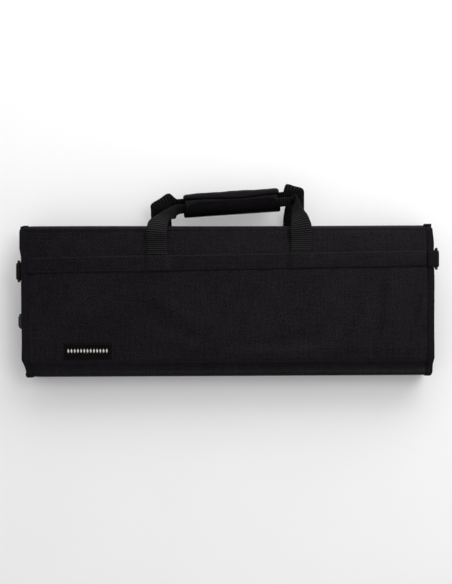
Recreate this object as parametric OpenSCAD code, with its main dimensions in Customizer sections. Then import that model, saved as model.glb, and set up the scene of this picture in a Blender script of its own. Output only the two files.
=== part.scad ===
// Soft-sided knife case: two stiff fabric halves that fold open along one long edge,
// a zip round the other three sides, and two webbing handles joined by a padded wrap.
// The case lies on its back. X runs along the fold, +Y points to the handles, +Z up.
// The origin is on the back face, in the middle of the case.

/* [Case] */
// Length along the fold
case_l = 500; // [440:10:560]
// Width from the fold to the opening edge
case_w = 184; // [176:2:196]
// Thickness of the closed case
case_t = 52; // [50:1:60]
// Thickness at the fold, below the dip in the cover
spine_t = 44; // [42:1:46]
// Length that the side edges lose at each end of the fold
corner_cut = 6.5; // [4:0.5:9]
// Radius of the soft fold rolls
fold_r = 8; // [7:0.5:9]
// Radius of the rolled opening edge
edge_r = 8; // [7:0.5:10]
// Play between a fold roll and the panel that turns round it
fold_play = 0.3; // [0.2:0.05:0.5]
// How far the spine's ends stay inside the side edges
spine_inset = 6.5; // [5:0.5:10]

/* [Panel layers] */
// Outer fabric with its padding
skin_t = 2.5; // [2:0.1:3]
// Stiffening board
board_t = 2; // [1.5:0.1:2.5]
// Lining
lining_t = 1.5; // [1:0.1:2]
// Width of the binding on the side edges
binding_w = 8; // [6:0.5:9]
// Thickness of the binding tape
binding_t = 1; // [0.6:0.1:1.4]

/* [Side walls and zip] */
// Thickness of the side wall
wall_t = 2; // [1.5:0.1:2.5]
// How far the side edges stand out past the wall
side_flange = 9; // [9:0.5:12]
// How far the opening edge stands out past the wall
top_flange = 4; // [4:0.5:6]
// Corner radius of the wall
wall_r = 14; // [10:1:20]
// Gap between the fold line and the wall's ends
wall_end_gap = 14; // [12:1:24]
// Height of the wall of the back half
back_wall_h = 10.5; // [9:0.5:11.5]
// Height of the middle of the zip above the table
zip_z = 22; // [21:0.5:23]
// Gap between the two halves of the wall and the middle of the zip
wall_gap = 5.5; // [5.2:0.1:6.5]
// Thickness of the zip tape
tape_t = 0.6; // [0.4:0.1:0.8]
// Width of the tape that is sewn to the wall
tape_seam = 8; // [5:0.5:9]
// Distance between teeth
tooth_pitch = 4; // [3:0.25:6]
// Height of the teeth across the chain
tooth_h = 2.4; // [2:0.1:2.8]
// Thickness of the teeth
tooth_t = 2.2; // [1.8:0.1:2.4]
// Gap between the facing teeth where the halves part
tooth_gap = 1.6; // [1.4:0.1:2]

/* [Sliders and pulls] */
// Length of a slider
slider_l = 11; // [9:0.5:13]
// Thickness of a slider plate
slider_plate = 1.2; // [1:0.1:1.4]
// Clearance between slider and chain
slider_play = 0.4; // [0.3:0.05:0.6]
// Middle of the upper slider
upper_slider_y = 12.5; // [8:0.5:30]
// Middle of the lower slider
lower_slider_y = -4.5; // [-20:0.5:-3]
// Pin radius of a slider's lug
lug_pin_r = 0.8; // [0.6:0.05:1]
// Length of the wire link between slider and grip
link_l = 9; // [8:0.5:12]
// Width of the wire link at its wide end
link_w = 8; // [6:0.5:9]
// Thickness of the wire link
link_t = 1.6; // [1.4:0.1:2]
// Length of the moulded grip
pull_l = 19; // [14:1:24]
// Width of the moulded grip
pull_w = 11; // [8:0.5:12]
// Thickness of the moulded grip
pull_t = 4; // [3:0.25:5]

/* [Webbing] */
// Width of the handle webbing
web_w = 25.4; // [20:0.2:32]
// Thickness of the handle webbing
web_t = 1.6; // [1.2:0.1:2]
// Width of the band across the case
band_w = 20; // [18:0.5:26]
// Thickness of the band
band_t = 1.2; // [0.8:0.1:1.6]
// Middle of the band
band_y = 47.5; // [40:0.5:56]
// Slant of the front band in degrees
band_slant = 0.77; // [-1:0.05:1]
// Middle of the left handle end
strap_left_x = -84.5; // [-110:0.5:-76]
// Middle of the right handle end
strap_right_x = 89.7; // [80:0.1:110]
// How far the back handle's left end sits nearer the middle
back_left_shift = 3; // [0:0.5:6]
// How far the back handle's right end sits nearer the middle
back_right_shift = 6; // [0:0.5:8]

/* [Handle grip] */
// Length of the wrap
grip_l = 118; // [100:1:120]
// Middle of the wrap along the case
grip_x = 6; // [0:0.5:12]
// Middle of the wrap from the middle of the case
grip_y = 120.5; // [119:0.5:128]
// Middle of the wrap above the table
grip_z = 34; // [32:0.5:38]
// Slant of the wrap in degrees
grip_slant = 3.6; // [0:0.1:5]
// Inner radius of the wrap
wrap_r = 9.8; // [9:0.1:10.4]
// Padding of the wrap
wrap_t = 2.8; // [2:0.1:3]
// Thickness of the hook and loop patches
patch_t = 0.4; // [0.3:0.05:0.5]
// Clearance between the two patches
patch_gap = 0.3; // [0.2:0.05:0.4]
// Thickness of the wrap's flap
flap_t = 1.3; // [1:0.1:1.6]

/* [Rings and label] */
// Wire radius of the D-rings
ring_wire_r = 1.5; // [1.2:0.1:1.8]
// Radius of the bow of the D-rings
ring_r = 12; // [11.5:0.5:15]
// Width of the webbing tabs
tab_w = 20; // [15:0.5:20]
// Middle of the left tab
left_tab_y = 37.5; // [32:0.5:60]
// Middle of the right tab
right_tab_y = 50; // [30:0.5:60]
// Length of the label
label_l = 57.7; // [40:0.1:70]
// Width of the label
label_w = 19.5; // [12:0.1:19.6]
// Distance between the label and the case's left side
label_side = 52; // [20:1:120]
// Thickness of the label
label_t = 0.6; // [0.4:0.1:1]

/* [Inside] */
// Number of knife sleeves
knife_sleeves = 5; // [4:1:5]
// Length of a knife sleeve
knife_sleeve_l = 300; // [240:10:360]
// Width of a knife sleeve
knife_sleeve_w = 26; // [22:0.5:27]
// Number of tool sleeves
tool_sleeves = 4; // [3:1:4]
// Length of a tool sleeve
tool_sleeve_l = 220; // [160:10:260]
// Width of a tool sleeve
tool_sleeve_w = 27; // [22:0.5:29]
// Room inside a sleeve
sleeve_room = 5.2; // [4.8:0.1:6]
// Fabric of a sleeve
sleeve_t = 0.8; // [0.6:0.1:1]
// Distance between sleeves, from edge to edge
sleeve_gap = 2.4; // [2:0.1:3]
// Distance between a wall and an elastic, past the length of the sleeves
elastic_gap = 62; // [20:1:80]
// Width of the elastic that holds the handles
elastic_w = 30; // [20:1:40]

/* [Hidden] */
$fn = 64;

nylon = [0.10, 0.095, 0.11];
nylon_light = [0.15, 0.14, 0.16];
webbing = [0.12, 0.12, 0.12];
lining = [0.22, 0.22, 0.24];
board = [0.35, 0.32, 0.28];
moulded = [0.07, 0.07, 0.07];
steel = [0.45, 0.45, 0.47];

half_l = case_l / 2;
half_w = case_w / 2;
panel_t = skin_t + board_t + lining_t;
fold_y = -half_w + fold_r;
seat_r = fold_r + fold_play;
edge_y = half_w - edge_r;
dip = case_t - spine_t;

// A panel starts this far from the fold line, and its dip ends this far from it
panel_start = fold_y + 5;
dip_end = fold_y + 14;
dip_start = fold_y + 4;
fold_block = 5;
lip_top = panel_t - binding_t;

wall_x = half_l - side_flange;
wall_y = half_w - top_flange;
wall_start = fold_y + wall_end_gap;
front_fold_z = spine_t - fold_r;

// Zip levels
lower_teeth_top = zip_z - tooth_gap / 2;
upper_teeth_low = zip_z + tooth_gap / 2;
bead_h = 1.2;
back_wall_top = panel_t + back_wall_h;
front_wall_low = zip_z + wall_gap;

// Webbing that lies on the front face
tail_l = 20;
band_end = wall_x + 0.8;
// Gap between a handle's sewn end and the part of it that swings
tail_gap = 1.2;
strap_start_y = band_y + band_w / 2 + 2;
front_pivot_z = case_t + web_t / 2;
back_pivot_y = half_w + 1.5;
back_pivot_z = web_t / 2;
back_ends_x = [strap_left_x + back_left_shift, strap_right_x - back_right_shift];

tab_ring_r = ring_wire_r + 0.3;
tab_t = 1.4;
tab_x = half_l + 3.4;
left_ring_z = case_t - panel_t - tab_t;
right_ring_z = case_t + tab_t;

chain_mid = wall_x + tape_t / 2;
lug_out = 6;
lug_end = 1.4;
lug_inset = 2.5;
lug_x = chain_mid + tooth_t / 2 + slider_play + slider_plate + lug_out;

patch_a = 84;
patch_b = 120;
flap_low = 80;
flap_high = 160;
flap_in = wrap_r + wrap_t + 2 * patch_t + patch_gap;
flap_out = flap_in + flap_t;
// A round lip stays this much inside the faces that it ends
lip_step = 0.2;

// Height of a panel's outer face under its flat level
function dip_at(y, depth) =
    let (t = min(1, max(0, (y - dip_start) / (dip_end - dip_start))))
    depth * (1 - t * t * (3 - 2 * t));

// Outer face of a panel, moved inwards by inset, from the fold to the rolled edge
function face_path(inset, depth, from_y, to_edge) = concat(
    [for (i = [0:10]) let (y = from_y + (dip_end - from_y) * i / 10) [y, dip_at(y, depth) + inset]],
    to_edge
        ? [for (a = [0:7.5:90]) [edge_y + (edge_r - inset) * sin(a), edge_r - (edge_r - inset) * cos(a)]]
        : [[edge_y, inset]]
);

function reverse(list) = [for (i = [len(list) - 1:-1:0]) list[i]];

// Section of one layer between two depths under the outer face
module layer_2d(outer, inner, depth, from_y, to_edge = true) {
    polygon(concat(
        face_path(outer, depth, from_y, to_edge),
        reverse(face_path(inner, depth, from_y, to_edge))
    ));
}

// Turns a section in Y and depth into a body along the case
module along_x(length) {
    rotate([90, 0, 90])
    translate([0, 0, -length / 2])
    linear_extrude(length) children();
}

// Outline of a panel seen from above, less a margin at the sides
module plan_2d(inset) {
    polygon([
        [-half_l + inset, half_w + 1], [half_l - inset, half_w + 1],
        [half_l - inset, dip_end], [half_l - inset - corner_cut, -half_w],
        [-half_l + inset + corner_cut, -half_w], [-half_l + inset, dip_end]
    ]);
}

module in_plan(inset) {
    intersection() {
        children();
        translate([0, 0, -1]) linear_extrude(case_t + 2) plan_2d(inset);
    }
}

// Round seat for the fold roll, in a panel whose face dips by depth
module fold_seat(depth) {
    translate([0, fold_y, fold_r + depth]) rotate([0, 90, 0])
    cylinder(h = case_l + 2, r = seat_r, center = true);
}

// Outer cover of a panel, lying with its outer face on Z = 0
module cover_skin(depth) {
    core_x = half_l - binding_w - 1;
    difference() {
        union() {
            intersection() {
                union() {
                    along_x(2 * core_x) layer_2d(0, skin_t, depth, panel_start);
                    along_x(2 * core_x) intersection() {
                        layer_2d(0, panel_t - binding_t, depth, panel_start, false);
                        translate([panel_start, 0]) square([fold_block, case_t]);
                    }
                }
                linear_extrude(case_t) plan_2d(0.5);
            }
            in_plan(binding_t) for (s = [-1, 1])
                translate([s * (core_x + half_l) / 2, 0, 0])
                along_x(half_l - core_x)
                layer_2d(binding_t, panel_t - binding_t, depth, panel_start);
        }
        fold_seat(depth);
        lip_cut();
    }
}

// Space over the rolled edge, where its low lip leaves the wall free
module lip_cut() {
    translate([-case_l, edge_y, lip_top]) cube([2 * case_l, 2 * edge_r, case_t]);
}

// Binding folded round both side edges
module side_binding(depth) {
    difference() {
        in_plan(0) for (s = [-1, 1])
            translate([s * (half_l - binding_w / 2), 0, 0])
            along_x(binding_w) layer_2d(0, panel_t, depth, panel_start);
        in_plan(binding_t)
            along_x(case_l)
            layer_2d(binding_t, panel_t - binding_t, depth, panel_start - 1);
        fold_seat(depth);
        lip_cut();
    }
}

module board_layer(from_y) {
    translate([-wall_x, from_y, skin_t])
    cube([2 * wall_x, edge_y - from_y, board_t]);
}

module lining_layer(from_y) {
    translate([-wall_x, from_y, skin_t + board_t])
    cube([2 * wall_x, wall_y - from_y, lining_t]);
}

// The front half is drawn like the back half and turned over
module as_front() {
    translate([0, 0, case_t]) mirror([0, 0, 1]) children();
}

// U-shaped outline of wall, tape and chain, between two distances outside the wall's face
module round_top_2d(out) {
    r = wall_r + out;
    x = wall_x + out;
    y = wall_y + out;
    translate([-x, wall_start]) square([2 * x, y - r - wall_start]);
    translate([-x + r, wall_start]) square([2 * (x - r), y - wall_start]);
    for (s = [-1, 1]) translate([s * (x - r), y - r]) circle(r);
}

module u_2d(inner, outer) {
    difference() {
        round_top_2d(outer);
        round_top_2d(inner);
        translate([-wall_x - inner, wall_start - 1])
        square([2 * (wall_x + inner), 2]);
    }
}

module u_wall(inner, outer, low, high) {
    translate([0, 0, low]) linear_extrude(high - low) u_2d(inner, outer);
}

// Outline of a straight row of teeth: a bead on the tape with teeth standing on it
function comb(length, count) = concat(
    [[0, 0]],
    [for (i = [0:count - 1], k = [0:3])
        [(i + [0.2, 0.3, 0.7, 0.8][k]) * length / count, [bead_h, tooth_h, tooth_h, bead_h][k]]],
    [[length, 0]]
);

// The chain's teeth along the three sides; they point up from low, or down for the front half
module teeth_chain(base_z, up) {
    side_l = wall_y - wall_r - wall_start;
    top_l = 2 * (wall_x - wall_r);
    corner_l = PI / 2 * wall_r;
    corner_n = floor(corner_l / tooth_pitch);
    flip = up ? 0 : 1;
    mid = tape_t / 2;
    translate([0, 0, base_z]) mirror([0, 0, flip]) {
        for (s = [-1, 1]) {
            translate([s * (wall_x + mid), wall_start, 0])
            rotate([90, 0, 90])
            linear_extrude(tooth_t, center = true)
            polygon(comb(side_l, floor(side_l / tooth_pitch)));
            translate([s * (wall_x - wall_r), wall_y - wall_r, 0]) {
                rotate_extrude(angle = 90, start = s > 0 ? 0 : 90)
                translate([wall_r + mid - tooth_t / 2, 0]) square([tooth_t, bead_h]);
                for (i = [0:corner_n - 1])
                    rotate([0, 0, (s > 0 ? 0 : 90) + (i + 0.5) * 90 / corner_n])
                    translate([wall_r + mid - tooth_t / 2, -tooth_pitch / 4, 0])
                    cube([tooth_t, tooth_pitch / 2, tooth_h]);
            }
        }
        translate([-top_l / 2, wall_y + mid, 0])
        rotate([90, 0, 0])
        linear_extrude(tooth_t, center = true)
        polygon(comb(top_l, floor(top_l / tooth_pitch)));
    }
}

// Open sleeve with its seam allowances, its mouth towards +X
module sleeve(length, width) {
    outer_w = width + 2 * sleeve_t;
    difference() {
        translate([0, -outer_w / 2, 0]) cube([length, outer_w, sleeve_room + sleeve_t]);
        translate([sleeve_t, -width / 2, -1]) cube([length, width, sleeve_room + 1]);
        translate([length, 0, sleeve_room - 1]) linear_extrude(3)
        polygon([[-7, -width / 2 + 8], [1, -width / 2 + 3], [1, width / 2 - 3], [-7, width / 2 - 8]]);
    }
}

function sleeve_y(i, count, width) =
    let (step = width + 2 * sleeve_t + sleeve_gap)
    (i - (count - 1) / 2) * step;

// Middle of the lining between the fold and the wall
lining_mid = (wall_start + wall_y - wall_t) / 2 - 1;

module knife_sleeve(i) {
    color(lining)
    translate([-wall_x + wall_t + 4, lining_mid + sleeve_y(i, knife_sleeves, knife_sleeve_w), panel_t])
    sleeve(knife_sleeve_l, knife_sleeve_w);
}

module tool_sleeve(i) {
    color(lining)
    as_front()
    translate([-wall_x + wall_t + 10, lining_mid + sleeve_y(i, tool_sleeves, tool_sleeve_w), panel_t])
    sleeve(tool_sleeve_l, tool_sleeve_w);
}

// Flat elastic sewn down across the lining
module elastic_band(x) {
    low_y = wall_start + 4;
    translate([x, low_y, panel_t])
    cube([elastic_w, wall_y - wall_t - 4 - low_y, 1]);
}

function pin_y(mid_y, side) = mid_y + side * (slider_l / 2 - lug_inset);

// One slider: two plates joined by a post between the chains, lips under the lower chain,
// and a lug with its pin for the pull
module slider(mid_y, lug_side) {
    half_t = tooth_t / 2 + slider_play;
    low_z = zip_z - 5.2;
    high_z = zip_z + 5;
    lip_top = lower_teeth_top - tooth_h - slider_play;
    color(moulded)
    translate([-chain_mid, mid_y, 0]) {
        for (s = [-1, 1])
            translate([s * (half_t + slider_plate / 2) - slider_plate / 2, -slider_l / 2, low_z])
            cube([slider_plate, slider_l, high_z - low_z]);
        translate([-half_t, -1.5, zip_z - 0.5]) cube([2 * half_t, 3, 1]);
        for (s = [-1, 1])
            translate([s * (half_t + tape_t / 2 + slider_play) / 2
                       - (half_t - tape_t / 2 - slider_play) / 2, -slider_l / 2, low_z])
            cube([half_t - tape_t / 2 - slider_play, slider_l, lip_top - low_z]);
        translate([-(lug_x - chain_mid), pin_y(0, lug_side), 0]) {
            translate([0, 0, zip_z - 2.4]) cylinder(h = 4.8, r = lug_pin_r);
            for (z = [zip_z - 2.6, zip_z + 1.2])
                translate([-lug_end, -1.5, z]) cube([lug_end + lug_out + 0.2, 3, 1.4]);
        }
    }
}

// Wire link: a rounded triangle whose narrow end runs on the slider's pin
module pull_link(mid_y, side) {
    eye_r = lug_pin_r + 1.3;
    neck_l = 2.8;
    color(steel)
    translate([-lug_x, pin_y(mid_y, side), zip_z - link_t / 2])
    mirror([0, side > 0 ? 0 : 1, 0])
    difference() {
        linear_extrude(link_t) difference() {
            union() {
                circle(eye_r);
                polygon([[-eye_r, 0], [eye_r, 0], [eye_r, neck_l], [link_w / 2, link_l - 1.5],
                         [link_w / 2 - 1.5, link_l], [-link_w / 2 + 1.5, link_l],
                         [-link_w / 2, link_l - 1.5], [-eye_r, neck_l]]);
            }
            polygon([[-0.9, neck_l + 0.4], [0.9, neck_l + 0.4], [link_w / 2 - 1.7, link_l - 1.9], [-link_w / 2 + 1.7, link_l - 1.9]]);
        }
        translate([0, 0, -1]) cylinder(h = link_t + 2, r = lug_pin_r + 0.1);
    }
}

// Moulded grip: an oval bar clamped on the link's wide end
module pull_grip(mid_y, side, flat) {
    clamp = 1.7;
    color(moulded)
    translate([-lug_x - (flat ? 2.5 : 0), pin_y(mid_y, side), zip_z])
    mirror([0, side > 0 ? 0 : 1, 0])
    translate([0, link_l - clamp, 0])
    difference() {
        rotate([0, flat ? 0 : 90, 0]) union() {
            translate([0, pull_l / 2, -pull_t / 2])
            linear_extrude(pull_t) intersection() {
                translate([-pull_w / 2, -pull_l / 2]) square([pull_w, pull_l]);
                union() {
                    translate([0, pull_l / 2 - pull_w / 2]) circle(pull_w / 2);
                    translate([-pull_w / 2, -pull_l / 2 + 3]) square([pull_w, pull_l - pull_w / 2 - 3]);
                    translate([-pull_w / 2 + 1, -pull_l / 2]) square([pull_w - 2, 4]);
                }
            }
            for (k = [0:3]) translate([-pull_w / 2 + 1.2, 5 + 3 * k, pull_t / 2])
                rotate([0, 90, 0]) cylinder(h = pull_w - 2.4, r = 0.5, $fn = 24);
        }
        translate([-link_w / 2 - 3, -1, -link_t / 2]) cube([link_w + 6, clamp + 1, link_t]);
    }
}

// Webbing loop round the bar of a D-ring, with its sewn tongue
module ring_tab(side, mid_y, ring_z, reach) {
    color(webbing)
    translate([side * tab_x, mid_y, ring_z])
    rotate([90, 0, 0])
    linear_extrude(tab_w, center = true)
    mirror([side < 0 ? 1 : 0, 0])
    difference() {
        union() {
            circle(tab_ring_r + tab_t);
            translate([-reach, -tab_t]) square([reach, 2 * tab_t]);
        }
        circle(tab_ring_r);
    }
}

module d_ring(side, mid_y, ring_z) {
    color(steel)
    translate([side * tab_x, mid_y, ring_z]) {
        rotate([90, 0, 0]) cylinder(h = 2 * ring_r, r = ring_wire_r, center = true);
        for (s = [-1, 1]) translate([0, s * ring_r, 0]) sphere(ring_wire_r);
        rotate([0, 90, 0])
        rotate_extrude(angle = 180, start = -90)
        translate([ring_r, 0]) circle(ring_wire_r);
    }
}

// Points on the handle webbing run through each rail in a smooth curve
function spline(p, i, t) =
    let (n = len(p) - 1, a = p[max(0, i - 1)], b = p[i], c = p[min(n, i + 1)], d = p[min(n, i + 2)])
    0.5 * (2 * b + (c - a) * t + (2 * a - 5 * b + 4 * c - d) * t * t
           + (3 * b - a - 3 * c + d) * t * t * t);

function rail(p, steps) = concat(
    [for (i = [0:len(p) - 2], k = [0:steps - 1]) spline(p, i, k / steps)],
    [p[len(p) - 1]]
);

function unit(v) = v / norm(v);

// Webbing between two rails
module webbing_strip(rail_a, rail_b, thick, steps) {
    a = rail(rail_a, steps);
    b = rail(rail_b, steps);
    n = len(a);
    mids = (a + b) / 2;
    points = [for (i = [0:n - 1])
        let (along = mids[min(n - 1, i + 1)] - mids[max(0, i - 1)],
             off = unit(cross(b[i] - a[i], along)) * thick / 2)
        each [a[i] - off, b[i] - off, b[i] + off, a[i] + off]];
    sides = [for (i = [0:n - 2], k = [0:3])
        let (p = 4 * i + k, q = 4 * i + (k + 1) % 4)
        each [[p, p + 4, q], [q, p + 4, q + 4]]];
    last = 4 * (n - 1);
    ends = [[0, 1, 2], [0, 2, 3], [last, last + 2, last + 1], [last, last + 3, last + 2]];
    polyhedron(points, concat(sides, ends));
}

// Point in the wrap's own axes: along it, away from the case, and up
function in_grip(s, u, w) =
    [grip_x + s * cos(grip_slant) - u * sin(grip_slant),
     grip_y + s * sin(grip_slant) + u * cos(grip_slant),
     grip_z + w];

grip_end = grip_l / 2;
left_a = strap_left_x - web_w / 2;
left_b = strap_left_x + web_w / 2;
right_a = strap_right_x + web_w / 2;
right_b = strap_right_x - web_w / 2;
back_left_a = left_a + back_left_shift;
back_left_b = left_b + back_left_shift;
back_right_a = right_a - back_right_shift;
back_right_b = right_b - back_right_shift;
front_z = front_pivot_z;

// Corners of the two handles inside the wrap: each lies on a slant, the front one above
high_far = [1.5, 7.8];
high_near = [-8.8, -1.5];

// The same place of the wrap's section, a distance along it
function held(s, corner) = in_grip(s, corner[0], corner[1]);

front_rail_outer = [
    [left_a, strap_start_y, front_z], [left_a, strap_start_y + 12, front_z + 5],
    [left_a, 84, front_z + 7.5], [left_a + 1.5, 92, front_z + 6.5], [left_a + 5, 99, front_z + 4],
    [left_a + 18, 108.4, 50], [left_a + 32, 115.8, 46.5],
    held(-grip_end - 1, high_far), held(0, high_far), held(grip_end + 2, high_far),
    [78, 126, 45], [84, 129.5, 47.5], [87.5, 123, 51.5], [right_a - 9, 110.5, 54],
    [right_a - 4, 102, front_z + 5.5], [right_a, 89, front_z + 7.5],
    [right_a, strap_start_y + 12, front_z + 5], [right_a, strap_start_y, front_z]
];
front_rail_inner = [
    [left_b, strap_start_y, front_z], [left_b, strap_start_y + 12, front_z + 5],
    [left_b, 82, front_z + 7], [left_b + 0.5, 89, front_z + 6], [left_b + 1.5, 95, front_z + 2],
    [left_b + 3.5, 99.5, 47], [left_b + 9, 101.5, 36],
    held(-grip_end - 1, high_near), held(0, high_near), held(grip_end + 2, high_near),
    [77, 117, 31.5], [82.5, 118.5, 32], [80, 112.5, 41], [right_b + 1.5, 104, 49],
    [right_b + 0.5, 96, front_z + 4], [right_b, 86, front_z + 7],
    [right_b, strap_start_y + 12, front_z + 5], [right_b, strap_start_y, front_z]
];
back_rail_outer = [
    [back_left_a, back_pivot_y, back_pivot_z], [back_left_a, 104, 13], [back_left_a + 0.7, 112, 25],
    [back_left_a + 1.8, 119, 34], [back_left_a + 12.7, 125.7, 38.5], [back_left_a + 23.5, 131.7, 41],
    [back_left_a + 32.5, 125.5, 40],
    held(-grip_end - 1, -high_near), held(0, -high_near), held(grip_end + 2, -high_near),
    [70, 136, 39.5], [73, 142, 43.5], [83, 139.5, 44.5], [back_right_a - 2.8, 136, 41],
    [back_right_a - 1, 125, 31], [back_right_a, 107, 13.5], [back_right_a, back_pivot_y, back_pivot_z]
];
back_rail_inner = [
    [back_left_b, back_pivot_y, back_pivot_z], [back_left_b, 101, 11], [back_left_b + 0.3, 107, 19],
    [back_left_b + 0.8, 110, 23], [back_left_b + 2, 112, 25], [back_left_b + 4, 113.3, 26],
    [back_left_b + 9, 113.5, 26.3],
    held(-grip_end - 1, -high_far), held(0, -high_far), held(grip_end + 2, -high_far),
    [70, 122.5, 26], [73, 123.5, 25], [74.5, 123, 23.5], [73.5, 120.5, 21],
    [back_right_b + 1.5, 115.5, 17], [back_right_b, 104, 9], [back_right_b, back_pivot_y, back_pivot_z]
];

// Half ring in the wrap's section, from angle low to high, counted from the side away from the case
module ring_2d(inner, outer, low, high) {
    far = 2 * outer;
    steps = 6;
    intersection() {
        difference() {
            circle(outer);
            circle(inner);
        }
        polygon(concat([[0, 0]], [for (i = [0:steps])
            let (a = low + (high - low) * i / steps) [far * cos(a), far * sin(a)]]));
    }
}

// Puts a section, drawn away from the case and up, along the wrap
module along_grip(length) {
    translate([grip_x, grip_y, grip_z])
    rotate([0, 0, grip_slant])
    rotate([90, 0, 90])
    linear_extrude(length, center = true) children();
}

module back_cover() {
    color(nylon) difference() {
        cover_skin(0);
        back_recess();
    }
}

// Shallow recess that lets the back band and handle ends lie flush
module back_recess() {
    translate([-band_end, band_y - band_w / 2, -1]) cube([2 * band_end, band_w, 1 + band_t]);
    for (x = back_ends_x)
        translate([x - web_w / 2, band_y - tail_l / 2, -1]) cube([web_w, case_w, 1 + web_t]);
}

module back_board() { color(board) board_layer(panel_start + fold_block); }
module back_lining() { color(lining) lining_layer(panel_start + fold_block); }
module back_binding() { color(nylon_light) side_binding(0); }

module back_band() {
    color(webbing) difference() {
        translate([-band_end, band_y - band_w / 2, 0]) cube([2 * band_end, band_w, band_t]);
        for (x = back_ends_x)
            translate([x - web_w / 2, band_y - band_w, -1]) cube([web_w, 2 * band_w, 3]);
    }
}

module back_strap_ends() {
    low_y = band_y - tail_l / 2;
    color(webbing) for (x = back_ends_x)
        translate([x - web_w / 2, low_y, 0]) cube([web_w, back_pivot_y - tail_gap - low_y, web_t]);
}

module back_gusset() { color(nylon) u_wall(-wall_t, 0, panel_t, back_wall_top); }

module back_zip_tape() {
    color(webbing) u_wall(0, tape_t, back_wall_top - tape_seam, lower_teeth_top - tooth_h);
}

module back_zip_teeth() { color(moulded) teeth_chain(lower_teeth_top - tooth_h, true); }
module knife_sleeve_1() { knife_sleeve(0); }
module knife_sleeve_2() { knife_sleeve(1); }
module knife_sleeve_3() { knife_sleeve(2); }
module knife_sleeve_4() { knife_sleeve(3); }
module knife_sleeve_5() { knife_sleeve(4); }
module knife_elastic() { color(webbing) elastic_band(-wall_x + knife_sleeve_l + elastic_gap); }

spine_l = case_l - 2 * spine_inset;

// Fabric roll at each edge of the spine and the outer face between them
module spine_cover() {
    color(nylon) {
        for (z = [fold_r, front_fold_z]) translate([0, fold_y, z]) rotate([0, 90, 0])
            cylinder(h = spine_l, r = fold_r, center = true);
        translate([-spine_l / 2, -half_w, fold_r]) cube([spine_l, skin_t, front_fold_z - fold_r]);
    }
}

// A sheet of the spine between the rolls, at a depth from its outer face
module spine_sheet(near, far) {
    difference() {
        translate([-spine_l / 2, -half_w + near, fold_r])
        cube([spine_l, far - near, front_fold_z - fold_r]);
        for (z = [fold_r, front_fold_z]) translate([0, fold_y, z]) rotate([0, 90, 0])
            cylinder(h = case_l, r = fold_r, center = true);
    }
}

module spine_board() { color(board) spine_sheet(skin_t, skin_t + board_t); }
module spine_lining() { color(lining) spine_sheet(skin_t + board_t, panel_t); }

module front_cover() { color(nylon) as_front() cover_skin(dip); }
module front_board() { color(board) as_front() board_layer(dip_end); }
module front_lining() { color(lining) as_front() lining_layer(dip_end); }
module front_binding() { color(nylon_light) as_front() side_binding(dip); }

module front_band() {
    color(webbing) difference() {
        translate([0, band_y, case_t]) rotate([0, 0, band_slant]) {
            translate([-band_end, -band_w / 2, 0]) cube([2 * band_end, band_w, band_t]);
            for (x = [strap_left_x, strap_right_x])
                translate([x - web_w / 2 - 1, -band_w / 2, 0]) cube([web_w + 2, band_w, band_t + web_t]);
        }
        front_strap_ends();
    }
}

module front_strap_ends() {
    color(webbing) for (x = [strap_left_x, strap_right_x])
        translate([x - web_w / 2, band_y - tail_l / 2 + 2, case_t])
        cube([web_w, strap_start_y - tail_gap - (band_y - tail_l / 2 + 2), web_t]);
}

module label_patch() {
    color(moulded)
    translate([-half_l + label_side, dip_end + 0.3, case_t]) cube([label_l, label_w, label_t]);
}

module front_gusset() { color(nylon) u_wall(-wall_t, 0, front_wall_low, case_t - panel_t); }

module front_zip_tape() {
    color(webbing) u_wall(0, tape_t, upper_teeth_low + tooth_h, front_wall_low + tape_seam);
}

module front_zip_teeth() { color(moulded) teeth_chain(upper_teeth_low + tooth_h, false); }
module tool_sleeve_1() { tool_sleeve(0); }
module tool_sleeve_2() { tool_sleeve(1); }
module tool_sleeve_3() { tool_sleeve(2); }
module tool_sleeve_4() { tool_sleeve(3); }
module tool_elastic() { color(webbing) as_front() elastic_band(-wall_x + tool_sleeve_l + elastic_gap + 6); }
module left_ring_tab() { ring_tab(-1, left_tab_y, left_ring_z, tab_x - wall_x - 1.2); }
module right_ring_tab() { ring_tab(1, right_tab_y, right_ring_z, tab_x - wall_x - 2.2); }
module front_handle_strap() {
    color(webbing) webbing_strip(front_rail_outer, front_rail_inner, web_t, 4);
}

module back_handle_strap() {
    color(webbing) webbing_strip(back_rail_outer, back_rail_inner, web_t, 4);
}

// Padded wrap: a C round both handles, with a thicker roll on the side away from the case
module grip_wrap() {
    lip_r = wrap_t / 2 - lip_step;
    color(nylon) along_grip(grip_l) {
        difference() {
            circle(wrap_r + wrap_t);
            circle(wrap_r);
            polygon([[0, 0], for (a = [patch_b:15:195]) 30 * [cos(a), sin(a)]]);
        }
        ring_2d(wrap_r + wrap_t - 0.1, flap_out, -60, 70);
        for (a = [patch_b, 195]) rotate(a) translate([wrap_r + wrap_t / 2, 0]) circle(lip_r);
    }
}

module loop_patch() {
    color(webbing) along_grip(grip_l - 6)
    ring_2d(wrap_r + wrap_t, wrap_r + wrap_t + patch_t, patch_a, patch_b - 8);
}

// Flap that closes the wrap, with round corners on its free edge
module grip_flap() {
    corner = 13;
    x = grip_l / 2;
    low = flap_out * cos(flap_high) - 3;
    high = flap_out * cos(flap_low) + 0.5;
    color(nylon) intersection() {
        along_grip(grip_l) {
            ring_2d(flap_in, flap_out, flap_low, flap_high);
            rotate(flap_high) translate([(flap_in + flap_out) / 2, 0]) circle(flap_t / 2 - lip_step / 2);
        }
        translate([grip_x, grip_y, 0]) rotate([0, 0, grip_slant])
        linear_extrude(case_t + 20) union() {
            translate([-x, low]) square([2 * x, high - low - corner]);
            translate([-x + corner, low]) square([2 * (x - corner), high - low]);
            for (s = [-1, 1]) translate([s * (x - corner), high - corner]) circle(corner);
        }
    }
}

module hook_patch() {
    color(webbing) along_grip(grip_l - 20)
    ring_2d(flap_in - patch_t, flap_in, patch_a + 2, patch_b - 8);
}

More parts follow.
